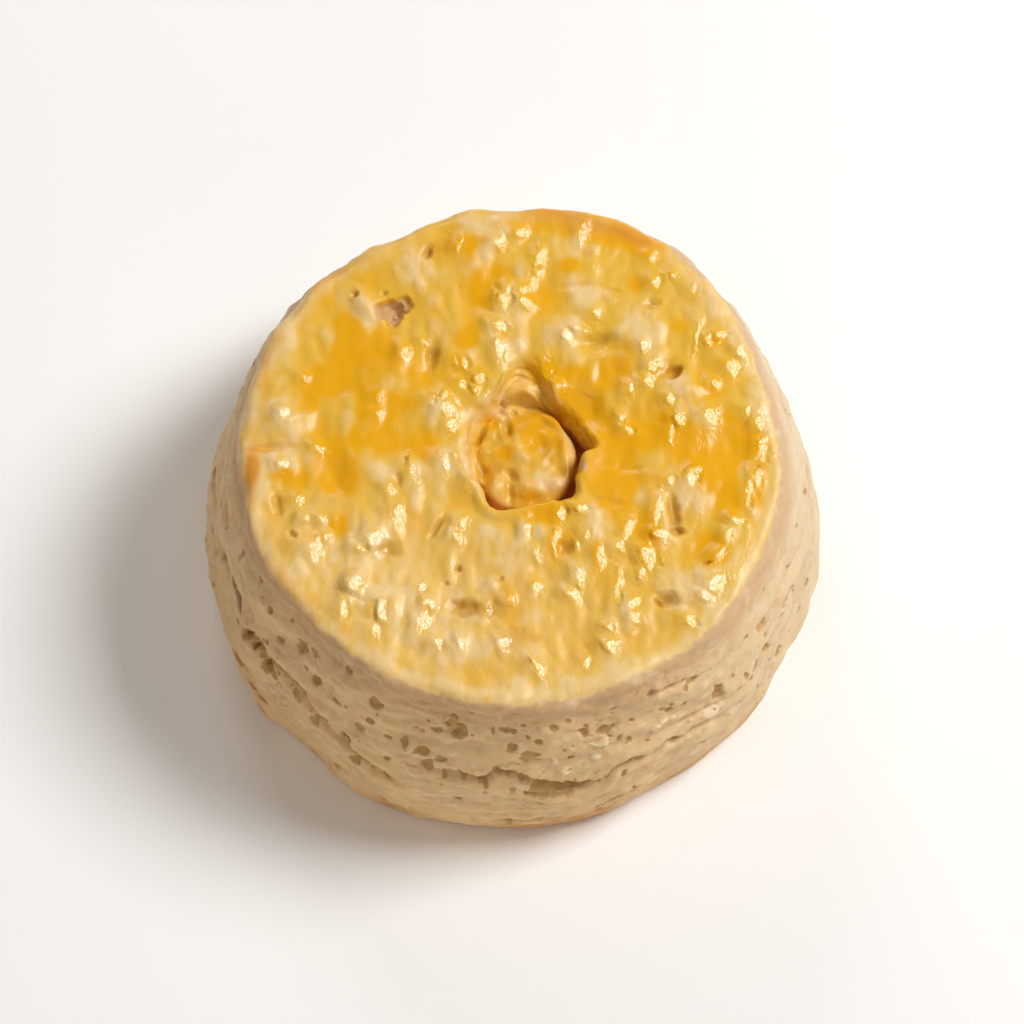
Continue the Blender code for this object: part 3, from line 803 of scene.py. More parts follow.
CREASES = [
    [(197, 22, 0, 1.2), (200, 21.6, 0.15, 1.2), (203, 21.4, 0.2, 1.2), (207, 20.4, 0.3, 1.2),
     (211, 19.6, 0, 1.2)],
    [(174, 9.4, 0, 1.6), (182, 8.7, 0.9, 1.8), (187, 8.8, 0.3, 1.6), (194, 9.4, 0.3, 1.6),
     (199, 8.9, 1, 1.8), (204, 8.5, 0.5, 1.6), (208, 8, 0.9, 1.6), (211, 7.4, 0.7, 1.4),
     (214, 5.2, 0.6, 1.4), (217, 4.4, 0.7, 1.4), (222, 3.8, 0, 1.2)],
    [(176, 23.4, 0, 1.8), (183, 22.6, 0.5, 1.8), (189, 21.6, 0.5, 1.6), (196, 22.4, 0, 1.6)],
    [(262, 5, 0, 1), (268, 5.6, 0.4, 1.2), (276, 5.2, 0.5, 1.2), (284, 6.2, 0.5, 1.2),
     (296, 7.4, 0.4, 1.2), (304, 8.2, 0, 1)],
    [(296, 24.9, 0, 1.2), (300, 24.6, 0.35, 1.2), (305, 24.2, 0.35, 1.2), (310, 23.2, 0, 1)],
    [(296, 17.4, 0, 1.4), (301, 17.2, 0.2, 1.4), (307, 16.2, 0.3, 1.4), (313, 15.2, 0.2, 1.4),
     (318, 14.6, 0, 1.2)],
    [(325, 19.4, 0, 1.6), (336, 20.6, 0.5, 1.8), (350, 19.4, 0.6, 2), (366, 20.2, 0.3, 1.8),
     (375, 19.6, 0, 1.6)],
    [(330, 6.4, 0, 1.4), (344, 7.2, 0.6, 1.6), (358, 6.2, 0.3, 1.6), (372, 7.6, 0.7, 1.8), (392, 7, 0, 1.4)],
    [(26, 21.2, 0, 1.8), (44, 20.2, 0.8, 2.2), (60, 21.4, 0.5, 2), (78, 20.4, 0.9, 2.2), (95, 21.6, 0, 1.6)],
    [(70, 6.6, 0, 1.4), (86, 5.6, 0.7, 1.6), (104, 6.8, 0.6, 1.6), (120, 5.8, 0.8, 1.6), (140, 6.8, 0, 1.4)],
    [(112, 20.6, 0, 1.8), (126, 19.8, 0.8, 2.2), (140, 21.2, 0.6, 2), (152, 20, 0.7, 2), (166, 21, 0, 1.6)],
]
print("creases besides the split:", len(CREASES))

# %% [markdown]
# ## How a crease moves the side
#
# A crease has a lip above, a step back below it, a painted shade in the step and a shoulder where the
# next layer swells out. A wobble of the height makes its edges ragged.
#
# %% Crease tools
LIP_STANDS_OUT, LIP_REACH, SHOULDER_BELOW = 0.28, 2.2, 0.3
# painted shade: extra darkness in the split's step on the left side, by bearing
SPLIT_SHADE_BOOST = [(206, 9, 0.6), (222, 8, 0.3), (190, 6, 0.2)]
WOBBLE = [(2.2, 11, 0.15), (0.9, 12, 0.2), (0.5, 18, 0.16)]
CREASE_BLUR, CREASE_SHADE, SHALLOW = 0.7, 0.8, (0.1, 0.6)
STARTS_BACK, COMES_OUT = (-0.1, 0.4), (0.35, 1)
SHADE_STARTS, SHADE_ENDS = (0.05, 0.35), (0.3, 0.75)

on_wall = radius > RIM_RADIUS - 1
wobble = noises(WOBBLE, on_wall)
uneven = 1 + 0.4 * soft_noise(2.5, 13, on_wall)


def crease(rows):
    """How far one crease moves the side, and how much painted shade each point in its step gets."""
    first = rows[0][0]
    along = (azimuth - first) % 360 + first
    bearings, *columns = zip(*rows)
    blurred = [along + shift for shift in (-CREASE_BLUR, 0, CREASE_BLUR)]
    level, depth, reach = (sum(np.interp(at, bearings, c) for at in blurred) / 3 for c in columns)
    below = level + wobble - height
    depth = depth * uneven
    clear = smooth_step(*SHALLOW, depth)
    lip = LIP_STANDS_OUT * hump(below / LIP_REACH) * (below < 0) * clear
    shoulder = SHOULDER_BELOW * hump((below - 1.3 * reach) / reach) * clear
    back_off = depth * smooth_step(*STARTS_BACK, below) * (1 - smooth_step(*COMES_OUT, below / reach))
    shade = clear * smooth_step(*SHADE_STARTS, below) * (1 - smooth_step(*SHADE_ENDS, below / reach))
    return lip + shoulder - back_off, shade * np.clip(0.25 + 0.6 * depth + swellings(SPLIT_SHADE_BOOST), 0, 1)


def all_creases():
    """The split and the creases together; the painted shade inside the creases is a little lighter."""
    moved, shaded = crease(SPLIT)
    for rows in CREASES:
        push, shade = crease(rows)
        moved += push
        shaded = np.maximum(shaded, CREASE_SHADE * shade)
    return moved, shaded


split, split_shade = all_creases()
print("deepest split in mm:", -split.min().round(2))

# %% [markdown]
# ## What the photograph shows on the side
#
# Round the split the crumb is torn open in small pits. Those in view are listed with bearing, height,
# half width, half height and depth, and so are the clefts whose shadow is painted dark, the flakes that
# stand off and one smooth place. The last table says how crumbly the side is at each bearing.
#
# %% Ovals on the side
TEARS = [
    (205.3, 13.5, 0.3, 0.3, 0.6), (207.8, 15.3, 0.4, 0.9, 1.1), (211.2, 16.2, 1.3, 1.2, 1.2),
    (209.3, 14.9, 0.5, 0.7, 1.2), (214, 16.6, 0.4, 1, 1), (215, 15.2, 0.5, 0.4, 0.7),
    (216.5, 14.7, 0.75, 0.75, 1.2), (219, 14.6, 0.3, 0.35, 0.8), (221.5, 13.7, 0.5, 0.45, 0.9),
    (224.4, 14.9, 0.4, 0.3, 0.7), (225.5, 14.3, 0.3, 0.4, 0.7), (228.3, 15.8, 0.5, 0.4, 0.7),
    (217, 19.9, 0.4, 0.35, 0.4), (227, 23.6, 0.2, 0.2, 0.5), (225, 19.9, 0.4, 0.4, 0.3),
    (228, 19.6, 0.5, 0.5, 0.35), (218, 24.6, 0.5, 0.25, 0.3), (223, 22.5, 0.7, 1, 0.3),
    (225.5, 23.5, 0.6, 0.6, 0.3), (234.5, 25.4, 0.5, 0.4, 0.5), (207, 25.1, 0.3, 0.4, 0.4),
    (199, 23.1, 0.3, 0.7, 0.4), (193, 15.8, 0.4, 1.4, 0.6), (191, 20.3, 0.2, 0.2, 0.4),
    (234, 19.9, 0.5, 0.3, 0.5), (230, 13.2, 0.5, 0.8, 0.7), (232, 15.2, 0.5, 0.6, 0.7),
    (237, 14.7, 0.6, 1.1, 0.9), (240, 11.7, 0.6, 0.4, 0.68), (244, 12.3, 1, 0.4, 0.59),
    (247, 11.8, 0.7, 0.4, 0.68), (193, 15.4, 0.4, 0.9, 0.6), (242, 22.9, 0.7, 0.8, 0.42),
    (240, 17.6, 0.8, 0.7, 0.26), (246, 15.1, 0.5, 0.6, 0.51), (246, 18.5, 0.5, 0.3, 0.42),
    (222, 21.6, 0.4, 0.9, 0.3), (218, 24.8, 0.3, 0.5, 0.3), (258, 23.5, 0.9, 1.2, 0.85),
    (260, 22.6, 0.7, 1, 0.85), (252, 21.6, 0.6, 0.5, 0.59), (255, 22.3, 0.5, 0.3, 0.42),
    (262, 22.6, 0.2, 0.4, 0.51), (266, 23.2, 0.2, 0.7, 0.42), (269, 23.7, 0.8, 0.7, 0.34),
    (270, 23.1, 0.3, 0.3, 0.51), (272, 24.6, 0.3, 0.2, 0.42), (273, 22.4, 0.2, 0.3, 0.51),
    (275, 21.7, 0.3, 0.3, 0.51), (270, 20.8, 0.6, 0.5, 0.68), (273, 19.4, 1, 0.9, 0.26),
    (281, 24.4, 0.2, 0.2, 0.42), (278, 24, 0.5, 0.5, 0.26), (284, 22.2, 0.6, 0.7, 0.45),
    (280, 19.6, 0.3, 0.4, 0.34), (249, 18.5, 0.3, 0.5, 0.51), (251, 17.8, 0.3, 0.5, 0.51),
    (253, 18.2, 0.6, 0.7, 0.68), (254, 16.2, 0.6, 1.1, 0.85), (256, 17.6, 0.4, 0.5, 0.59),
    (257, 17.7, 0.2, 0.3, 0.42), (260, 10.1, 0.25, 0.5, 0.68), (254, 12.6, 0.2, 0.3, 0.42),
    (257, 14.8, 0.2, 0.5, 0.34), (251, 4.2, 0.3, 0.5, 0.42), (263, 4.7, 0.3, 0.5, 0.34),
    (269, 4.9, 0.4, 0.7, 0.26), (246, 4.3, 0.4, 0.8, 0.42), (248, 4.1, 0.4, 0.9, 0.42),
    (267, 16.5, 0.4, 0.8, 0.85), (269, 16.6, 0.4, 0.8, 0.77), (264, 15, 0.3, 0.6, 0.68),
    (263, 15.4, 0.3, 0.5, 0.59), (265, 14.1, 0.2, 0.8, 0.42), (270, 13.1, 0.3, 1, 0.34),
    (272, 15.2, 0.5, 0.6, 0.42), (260, 16.2, 0.3, 0.6, 0.68), (261, 15.4, 0.3, 0.8, 0.51),
    (277.5, 12.3, 2.9, 1.7, 0.68), (288, 21.1, 1.3, 0.7, 0.52), (291, 19.1, 0.3, 0.5, 0.33),
    (293, 18, 0.3, 0.4, 0.26), (291, 24.3, 0.6, 0.2, 0.26), (294, 21.1, 0.3, 0.2, 0.26),
    (299, 21.3, 0.2, 0.2, 0.33), (302, 19.6, 0.4, 0.5, 0.33), (299, 24.7, 0.5, 0.5, 0.39),
    (302, 24.3, 1, 0.3, 0.39), (305, 24, 0.4, 0.2, 0.26), (308, 22.5, 0.5, 0.3, 0.39),
    (306, 22.2, 0.2, 0.3, 0.33), (303, 22.3, 0.2, 0.2, 0.33), (298, 26.4, 0.2, 0.2, 0.26),
    (313, 16.7, 0.7, 1.2, 0.52), (317, 17.4, 0.3, 0.2, 0.33), (320, 15.1, 0.4, 0.7, 0.45),
    (323, 14.4, 0.7, 0.7, 0.2), (292, 14, 0.3, 0.5, 0.45), (291, 11.7, 0.3, 0.9, 0.26),
    (293, 7.7, 0.6, 0.7, 0.39), (286, 5.7, 0.6, 0.9, 0.33), (308, 8.8, 0.3, 0.5, 0.26),
]
# painted shadow: clefts on the left, mostly a dark colour with little or no depth
CLEFT_SHADOWS = [
    (200.6, 17, 1.4, 1.2, 0.05), (203.8, 16.8, 1.2, 1.7, 0.05), (206.9, 16.4, 0.5, 0.5, 0.5),
    (212.5, 15.2, 0.3, 0.4, 0.5), (216.2, 14.8, 0.4, 0.4, 0.6), (209, 15, 0.3, 0.4, 0.5),
    (237.2, 14.6, 0.35, 0.6, 0.5), (209.2, 8.8, 0.9, 0.8, 0.05), (214.3, 7.2, 0.8, 0.6, 0.05),
    (217.3, 6.4, 0.8, 0.5, 0.05),
]
FLAKES = [
    (288, 19.3, 1.4, 0.5, 0.4), (301, 18.3, 0.7, 0.4, 0.35), (299, 17.9, 0.5, 0.4, 0.3),
    (311, 14.4, 1.2, 0.7, 0.2), (280, 16.2, 0.4, 0.6, 0.15), (278, 17.8, 0.3, 0.4, 0.15),
    (286, 17, 0.4, 0.3, 0.15),
]
SMOOTH_PLACE = (202.5, 18.6, 5, 3.6, 0)
CRUMBLY_ROUND = [(0, 0.3), (40, 0.4), (90, 0.7), (150, 0.9), (180, 1), (300, 1), (316, 0.6), (335, 0.35)]
print("pits of the side in view:", len(TEARS))

# %% [markdown]
# ## Relief of the crumbly side
#
# A fixed series of random numbers scatters similar pits over the back, and tiny ones all round. The
# upper part of a pit is the deepest and gets the most painted shade, and its floor slopes out and gets
# less, as if lit. Layers, crumbs and sheets of dough are noise that is wider than it is tall. What lies
# deep, and where the relief sinks in, gets a mask for painted shade.
#
# %% Relief of the side
UNSEEN_BEARINGS, ALL_BEARINGS = (325, 555), (0, 360)
SCATTERED_TEARS, SCATTERED_DOTS = 85, 220
OVAL_TATTER = [(1.2, 14, 0.6), (0.55, 15, 0.3)]
OVAL_WALL = 0.22
LAYERS = [((7, 7, 3.0), 4, 0.45), ((3.0, 3.0, 1.7), 16, 0.28)]
CRUMB_SIZE, CRUMB_HEIGHT = 1.1, 0.14
SHEET_SIZE, SHEET_HEIGHT, SHEET_MEAN = (5, 5, 1.3), 0.25, 0.05
WALL_RADIUS = 33.0

tatter = noises(OVAL_TATTER, on_wall)


def scattered(count, widest, deepest, bearings, seed):
    """Pits like the listed ones, at random places between two bearings."""
    dice = random.Random(seed)
    rows = []
    for _ in range(count):
        half_width = widest * (0.3 + 0.7 * dice.random() ** 3)
        half_height = half_width * (0.5 + 0.5 * dice.random())
        rows.append((dice.uniform(*bearings) % 360, 5 + 20 * dice.betavariate(2, 1.7), half_width,
                     half_height, deepest * (0.5 + 0.5 * dice.random())))
    return rows


def ovals_on_side(table, shelf, raggedness=1.0):
    """Ovals on the side: their depth, and how far inside one each point is; a shelf slopes out."""
    depth, inside = np.zeros(len(points)), np.zeros(len(points))
    order = np.argsort(height)
    levels = height[order]
    for bearing, level, half_width, half_height, amount in table:
        reach = 3 * half_height + 0.3
        first, last = np.searchsorted(levels, (level - reach, level + reach))
        near = order[first:last]
        near = near[on_wall[near]]
        aside = np.radians((azimuth[near] - bearing + 180) % 360 - 180) * WALL_RADIUS
        rise = (height[near] - level) / half_height
        smaller = min(half_width, half_height)
        distance = np.hypot(aside / half_width, rise) + raggedness * tatter[near] / max(0.5, smaller)
        within = inside_oval(distance, OVAL_WALL, half_width, half_height)
        rise = np.clip(rise, -1, 1)
        # painted shade inside an oval: most under its upper edge, less on its floor, as if lit
        lit_floor = 0.15 + 0.2 * min(1, half_height / 1.2)
        depth[near] += min(amount, 0.5 * smaller + 0.1) * within * (1 + shelf * rise)
        inside[near] = np.maximum(inside[near], within * (1 - lit_floor + lit_floor * rise))
    return depth, inside


pits = TEARS + scattered(SCATTERED_TEARS, 1.4, 0.9, UNSEEN_BEARINGS, 5)
pits += scattered(SCATTERED_DOTS, 0.35, 0.35, ALL_BEARINGS, 6)
tear_depth, in_tear = ovals_on_side(pits, 0.3)
flake_height, on_flake = ovals_on_side(FLAKES, -0.3)
cleft_depth, in_cleft_shadow = ovals_on_side(CLEFT_SHADOWS, 0, 0.35)
layers = noises(LAYERS, on_wall) * (1 - 0.85 * ovals_on_side([SMOOTH_PLACE], 0, 0)[1])
crumbs = CRUMB_HEIGHT * soft_noise(CRUMB_SIZE, 17, on_wall)
sheets = SHEET_HEIGHT * np.abs(soft_noise(SHEET_SIZE, 19, on_wall)) - SHEET_MEAN
crumbly = round_table(CRUMBLY_ROUND, 1, 3)
side_relief = split - tear_depth - cleft_depth + flake_height + layers + (crumbs + sheets) * crumbly
# painted shade: the crumb is darker where the side's relief sinks in
hollow_shade = smooth_step(0.1, -0.5, side_relief + 0.3 * soft_noise(0.8, 20, on_wall)) * on_wall
print("pits on the side:", len(pits))

# %% [markdown]
# ## Where the photograph shows egg, toast and bare dough
#
# The materials read masks: how much egg covers a point, how thick it is, how toasted, how pale and how
# much painted shade lies deep inside. These ovals place the photograph's pools of egg, the regions rich
# or poor in egg, the bare plates and the toasted edges. Tables of bearings do so for the foot of the
# side and for its tan front and left, where the tan is partly the crumb's tone and partly painted shade.
#
# %% Ovals of colour
POOLS = [
    (0, -18.5, 3.4, 5.5, 0, 0.35), (-6, 24, 3.5, 2.5, 0, 0.4), (11.8, -7.8, 2.6, 2.6, 0, 0.45),
    (-17.8, -1.4, 2.6, 2.6, 0, 0.4), (11.8, 11.4, 2.6, 2.6, 0, 0.35), (-16.9, 11.4, 3.4, 2.2, 25, 1),
    (-20.9, 8.2, 2, 1.5, 40, 0.9), (-18, 14.6, 1.5, 2, 0, 0.8), (-13, 10.5, 2.2, 2.6, 0, 0.6),
    (-5.1, 12.8, 1.7, 1.5, 0, 0.9), (-2.4, 20.4, 2.2, 1.4, 20, 0.7), (11, 8.7, 2, 1.7, 0, 1),
    (-18.9, -3, 1.6, 2.4, 0, 0.9), (-5.7, 10.5, 1.2, 1, 0, 0.5), (21.7, -1.2, 2.8, 3.8, 0, 0.9),
    (24, 1.8, 1.5, 3, 20, 0.8), (7.2, 9.4, 1.6, 1.3, 0, 0.7), (13.7, 1.1, 2.2, 1.7, 0, 0.6),
    (3.5, -7.8, 1.8, 1, 0, 0.7), (21.7, -11.1, 1.7, 1.7, 0, 0.8), (5.1, -10.5, 1.4, 1.5, 0, 0.6),
    (-16.3, 5.2, 0.9, 2, 0, 0.7), (-17, 1.5, 0.9, 1.5, 0, 0.7), (-12, 5.7, 2.4, 0.8, -15, 0.7),
    (13.3, 19.7, 1.2, 1.3, 0, 0.6), (6.4, 21.9, 1.4, 1, 0, 0.6), (21.9, 12.7, 1.4, 0.8, 20, 0.5),
    (26, -5, 1, 2.4, 0, 0.6), (21.2, -13, 1.5, 1, 30, 0.6), (-17.9, -20.9, 1, 1.2, 0, 0.5),
    (-22.1, -17.1, 2.2, 0.9, -30, 0.5), (-19.2, -1.1, 1.7, 2.8, 10, 0.6), (10.5, -3, 2.4, 4, 0, 0.9),
    (14.5, -10, 1.5, 4, 0, 0.7), (8.3, 4, 1.8, 2.6, 20, 0.9), (14.5, -3.5, 2.5, 2, 0, 0.6),
    (18.5, 1.5, 2.5, 2, 0, 0.7), (22.8, -5.5, 1.4, 3, 0, 0.7), (-24.5, -3.2, 2.4, 0.9, 0, 0.8),
    (-9.5, 1, 1.6, 2.2, 0, 0.7), (-14, 1, 1.5, 1.5, 0, 0.6), (7, 6.3, 3.2, 1.6, -50, 1.2),
    (3.5, 9.2, 2, 1.2, -30, 0.8), (-22, 5, 1.5, 1, 30, 0.5), (-8.5, 15.5, 1.2, 2, 0, 0.4),
    (2.3, 4, 2.6, 1.5, 0, 0.9), (3, 2.2, 1.8, 0.8, 0, 0.8), (-2.5, 4.3, 1.1, 1, 0, 0.7),
    (9, -12, 0.9, 2.2, 0, 0.6), (-18.5, -8.5, 1, 1.6, 0, 0.6), (18, 14.5, 1.4, 1.2, 0, 0.5),
    (-4.5, 24.5, 2, 1, 15, 0.5), (9.4, 25.4, 5, 1.3, -12, 0.7), (1.5, 26.6, 3, 0.8, 0, 0.5),
    (14, 23.8, 1.8, 0.8, -30, 0.6), (3, 1.8, 2.2, 1.4, 0, 0.8), (-1, 0.6, 1.2, 0.8, 0, 0.6),
]
RICH_REGIONS = [
    (-17, 5, 8, 10, 0, 0.45), (20, -3, 8, 13, 0, 0.4), (2, 1, 10, 10, 0, 0.35), (-2, 20, 10, 5, 0, 0.3),
    (-13, -17, 13, 8, 0, -0.45), (14, 18, 9, 6, 0, -0.25), (6, -21, 8, 5, 0, -0.15),
]
BARE_PLATES = [
    (-16.2, 16.7, 3.3, 1.5, -40, 1), (-24.5, 2.9, 2.8, 2.1, 0, 0.6), (-2.4, -15.8, 1.3, 1.1, 0, 0.6),
    (13.7, 16.3, 2.2, 2, 0, 0.35), (-15, -12, 5, 4, 0, 0.35), (-8, -20, 7, 4, 20, 0.4),
    (-21, -12, 3, 5, 20, 0.4), (27, 8, 1.5, 4, 0, 0.4), (20, 17, 3, 2, -40, 0.3), (6.2, 1, 0.7, 3.2, 8, 1),
    (4.9, 4.6, 0.6, 1.6, 45, 0.9), (-1.5, -2.3, 1.1, 1.3, 0, 0.6), (3, -2.6, 2.4, 1.3, 0, 0.6),
    (5.2, -2.8, 1, 1, 0, 0.8), (1.2, 8, 2, 1.6, 0, 0.8), (-5, 1, 0.8, 3.2, 0, 1),
    (-4, -3.2, 0.8, 1.8, 25, 0.9), (-4.3, 4.2, 1, 1, 0, 0.7),
]
TOASTED = [
    (9.4, 26.8, 6, 1.4, -12, 0.8), (13.9, 25.2, 2.6, 0.9, -28, 1), (3, 28.3, 4.5, 1.2, 0, 0.6),
    (-28.2, -3.3, 1.1, 2.5, 0, 1), (-26.8, 0.1, 3, 0.5, 3, 0.7), (2.4, -21.6, 0.8, 0.6, 0, 0.6),
    (-7.9, 24, 1.6, 0.9, 0, 0.5), (-26.3, 11.7, 3.2, 0.9, 62, 0.4), (8.3, 23.4, 0.7, 0.7, 0, 0.5),
    (26.6, -2.1, 0.6, 1.2, 0, 0.5), (-27, 8, 0.8, 3, 0, 0.4), (-20.6, 20.9, 3, 0.9, 42, 0.6),
    (-27.8, -1.2, 0.8, 2.6, 0, 0.6), (-24.4, -14.8, 2.6, 0.7, -59, 0.45), (-22.7, -18, 1.8, 0.5, -52, 0.5),
]
TORN_BARE = [(-13.5, 16.5, 4.0, 3.0, 0, 1.0)]
CRUMB_SHOWS = [(7.6, -1.7, 0.45, 1.2, 5, 1.0), (-1.1, 5.9, 0.8, 0.35, -20, 0.7)]
BROWNED_BASE = [
    (206, 4, 0.7), (216, 4, 0.8), (247, 5, 0.8), (274, 7, 1), (286, 6, 0.8), (305, 7, 0.6), (320, 8, 0.8),
    (350, 12, 0.5), (40, 15, 0.6), (95, 20, 0.8), (150, 15, 0.7),
]
BASE_MARKS = [
    (209.5, 9, 1.5, 1.1, 1), (214, 7.3, 1.2, 0.8, 1), (217, 6.3, 1.3, 0.8, 1), (191, 12.8, 0.6, 1.6, 0.5),
]
# partly the crumb's tone, partly painted shade: the side is tan on the front and left, where it lies in half
# shade
SHADED_TAN_ROUND = [
    (0, 0.1), (60, 0), (110, 0.2), (150, 0.6), (180, 0.9), (200, 1), (225, 1), (250, 1), (290, 0.95),
    (310, 0.7), (330, 0.45),
]
print("pools of egg:", len(POOLS), "toasted places:", len(TOASTED))

# %% [markdown]
# ## Masks for the egg
#
# The egg runs into the hollows and leaves the hill tops pale, so its masks follow the relief. The
# listed pools and plates are added, with streaky edges. The egg ends in a ragged line on the shoulder.
#
# %% Masks for the egg
GLAZE_EDGE = 28.9
GLAZE_RUNS_DOWN = [(120, 50, 1.6), (180, 12, 0.4)]
EDGE_WAVES = [(2.6, 21, 0.4), (0.8, 22, 0.25)]
GOLDEN_BACK, PALE_FRONT = (92, 60), (250, 95)
RIM_BAND, VALLEY, HILL_TOP = (26.8, 28.4), (0.15, -0.35), (0.0, 0.33)

wavy = lumps + knobs + brushed
streaky = 0.35 * soft_noise((1.3, 2.6, 2.6), 37, near_top)
golden_back = hump(bearing_gap(GOLDEN_BACK[0]) / GOLDEN_BACK[1])
near_edge = smooth_step(*RIM_BAND, radius) * near_top * (1 - golden_back)


def egg_cover():
    """1 where the egg was brushed, ragged at its edge on the shoulder, and none on torn crumb."""
    edge = GLAZE_EDGE + noises(EDGE_WAVES, near_top) + swellings(GLAZE_RUNS_DOWN)
    brushed_on = 1 - smooth_step(edge - 0.45, edge + 0.3, radius)
    bare = np.clip(0.25 + spots(TORN_BARE), 0, 1) * smooth_step(0.3, 0.8, in_pit)
    bare = np.maximum(bare, spots(CRUMB_SHOWS, 0.4 * soft_noise(0.7, 39, near_top)))
    return brushed_on * (1 - 0.85 * np.clip(bare, 0, 1)) * near_top


def thick_egg():
    """How thick the egg is: in the pools, in the valleys of rich regions, and less near the rim."""
    patchy = np.clip(0.5 + 0.9 * soft_noise((2.6, 4.2, 4.2), 23, near_top), 0, 1)
    richness = np.clip(0.35 + spots(RICH_REGIONS), 0.05, 1)
    valleys = smooth_step(*VALLEY, wavy)
    thick = spots(POOLS, streaky) * (1.0 + 0.7 * patchy)
    thick += richness * (valleys * (0.7 + 1.3 * patchy) + 0.35 * patchy)
    return smooth_step(0.0, 1.1, thick) * (1 - 0.6 * near_edge) * near_top


def pale_egg():
    """Where the dough shows pale through the egg: plates, hill tops, the rim and the front."""
    hill_tops = 1.12 * smooth_step(*HILL_TOP, wavy) * (1 - 0.7 * pool)
    in_front = 0.35 * hump(bearing_gap(PALE_FRONT[0]) / PALE_FRONT[1]) * smooth_step(6, 16, radius)
    return np.clip(spots(BARE_PLATES, streaky) + hill_tops + 0.7 * near_edge + in_front, 0, 1) * near_top


cover = egg_cover()
pool = thick_egg()
pale = pale_egg()
shining = 0.6 * smooth_step(0.1, 0.5, soft_noise((2.0, 4.6, 4.6), 34, near_top))
print("share covered with egg:", round(float(cover.mean()), 2))

# %% [markdown]
# ## Masks for toast and shade
#
# The dents of the top are brown, the sunken plug gets a painted shade, and the oven browned parts of
# the rim and the foot of the side. The crumb deep in the split and the pits gets painted shade too.
#
# %% Masks for toast and shade
PLUG_BAND, UNDER_RIM = (7.2, 5.5), (22.0, 26.0)
FOOT_HEIGHT, FOOT_WAVES, FOOT_SOFTNESS = 4.5, 1.5, 1.5

torn_edge = 0.3 * soft_noise(0.9, 36, near_top)


def brown_dents_and_plug_shade():
    """How brown the dents and torn pits are, with painted shade on the sunken plug."""
    in_dents = np.clip(1.5 * spots(BROWN_AND_SHADED_DENTS, 1.5 * torn_edge), 0, 1) * on_top
    on_plug = smooth_step(*PLUG_BAND, radius) * near_top * (1 - 0.7 * pale)
    # painted shade, in part: the sunken plug is darker, as its shade and as deeper egg
    plug_shade = (0.2 + 0.5 * soft_noise(1.6, 40, near_top)) * on_plug
    return np.maximum.reduce([in_dents, plug_shade, 0.7 * in_pit * on_top])


def dark_inside():
    """The painted shade in the split, in the pits of the side and in the torn pits of the top."""
    crumbled = np.clip(0.85 + 0.5 * soft_noise(1.0, 35, near_top), 0, 1)
    in_torn_pit = 0.6 * smooth_step(0.5, 1.0, in_pit) * on_top * crumbled
    return np.maximum(np.clip(np.maximum(split_shade, in_tear), 0, 1), in_torn_pit)


def browned_foot():
    """The toasted edge at the foot of the side, and the marks listed just above it."""
    level = FOOT_HEIGHT + FOOT_WAVES * soft_noise(4.0, 24, on_wall)
    edge = smooth_step(level, level - FOOT_SOFTNESS, height)
    edge = edge * np.clip(swellings(BROWNED_BASE), 0.15, 1)
    return np.maximum(edge, ovals_on_side(BASE_MARKS, 0, 0.5)[1])


dent_brown_and_plug_shade = brown_dents_and_plug_shade()
pale *= 1 - 0.8 * dent_brown_and_plug_shade
in_shade = dark_inside()
toast = np.maximum(np.clip(spots(TOASTED, streaky), 0, 1) * near_top, browned_foot())
# painted shade, in part: the front and left of the side are tan, as the half shade there
tan_side_and_shade = round_table(SHADED_TAN_ROUND, 1, 4)
# partly the crumb's own greyish-pink tone, partly painted shade under the glazed rim
under_rim_tone_and_shade = smooth_step(*UNDER_RIM, height) * (1 - cover)
print("share in shade:", round(float(in_shade.mean()), 3))

# %% [markdown]
# ## Pushing the points
#
# Each relief only counts on its own part, so it is multiplied by a soft mask: the top, the side, away
# from the groove, away from the flat sole. Then every point moves along the direction that the turned
# form faces there. The mask for the groove's toast and painted shade is read after that, from the new
# heights.
#
# %% Move the points
SOLE_FADE, EDGE_FADE, LOW_IN_GROOVE = (0, 2.5), (25.5, 28), (25.9, 23.9)

off_sole = smooth_step(*SOLE_FADE, height)
on_side = smooth_step(RIM_RADIUS - 0.5, RIM_RADIUS + 0.8, radius) * off_sole
cut_open = in_cut * (0.25 + 0.75 * open_share)


def relief_of_top():
    """Everything small that lifts or lowers the top; pools of egg are calmer."""
    placed = spots(PLATES) - spots(SOFT_DENTS) - spots(BROWN_AND_SHADED_DENTS, torn_edge)
    relief = brushed + (knobs + dimples) * (1 - 0.65 * pool) + placed
    relief = relief * (1 - 0.5 * smooth_step(*EDGE_FADE, radius)) + bumps - pit_depth
    on_plug = 1 - smooth_step(PLUG_RADIUS, HOLE_RADIUS - 0.2, radius)
    return relief + (spots(PLUG_SPOTS) + 0.16 * soft_noise(1.3, 43, near_top)) * on_plug


def groove_toast_and_shade():
    """Toast and painted shade low down in the open cut; the ball in the nook stays pale."""
    low_down = smooth_step(*LOW_IN_GROOVE, points[:, 2]) * hump((radius - 6.4) / 1.6) * near_top
    on_ball = np.clip(spots([NOOK_BALL]), 0, 1)
    return low_down * smooth_step(0.2, 0.9, open_share) * (1 - 0.8 * on_ball)


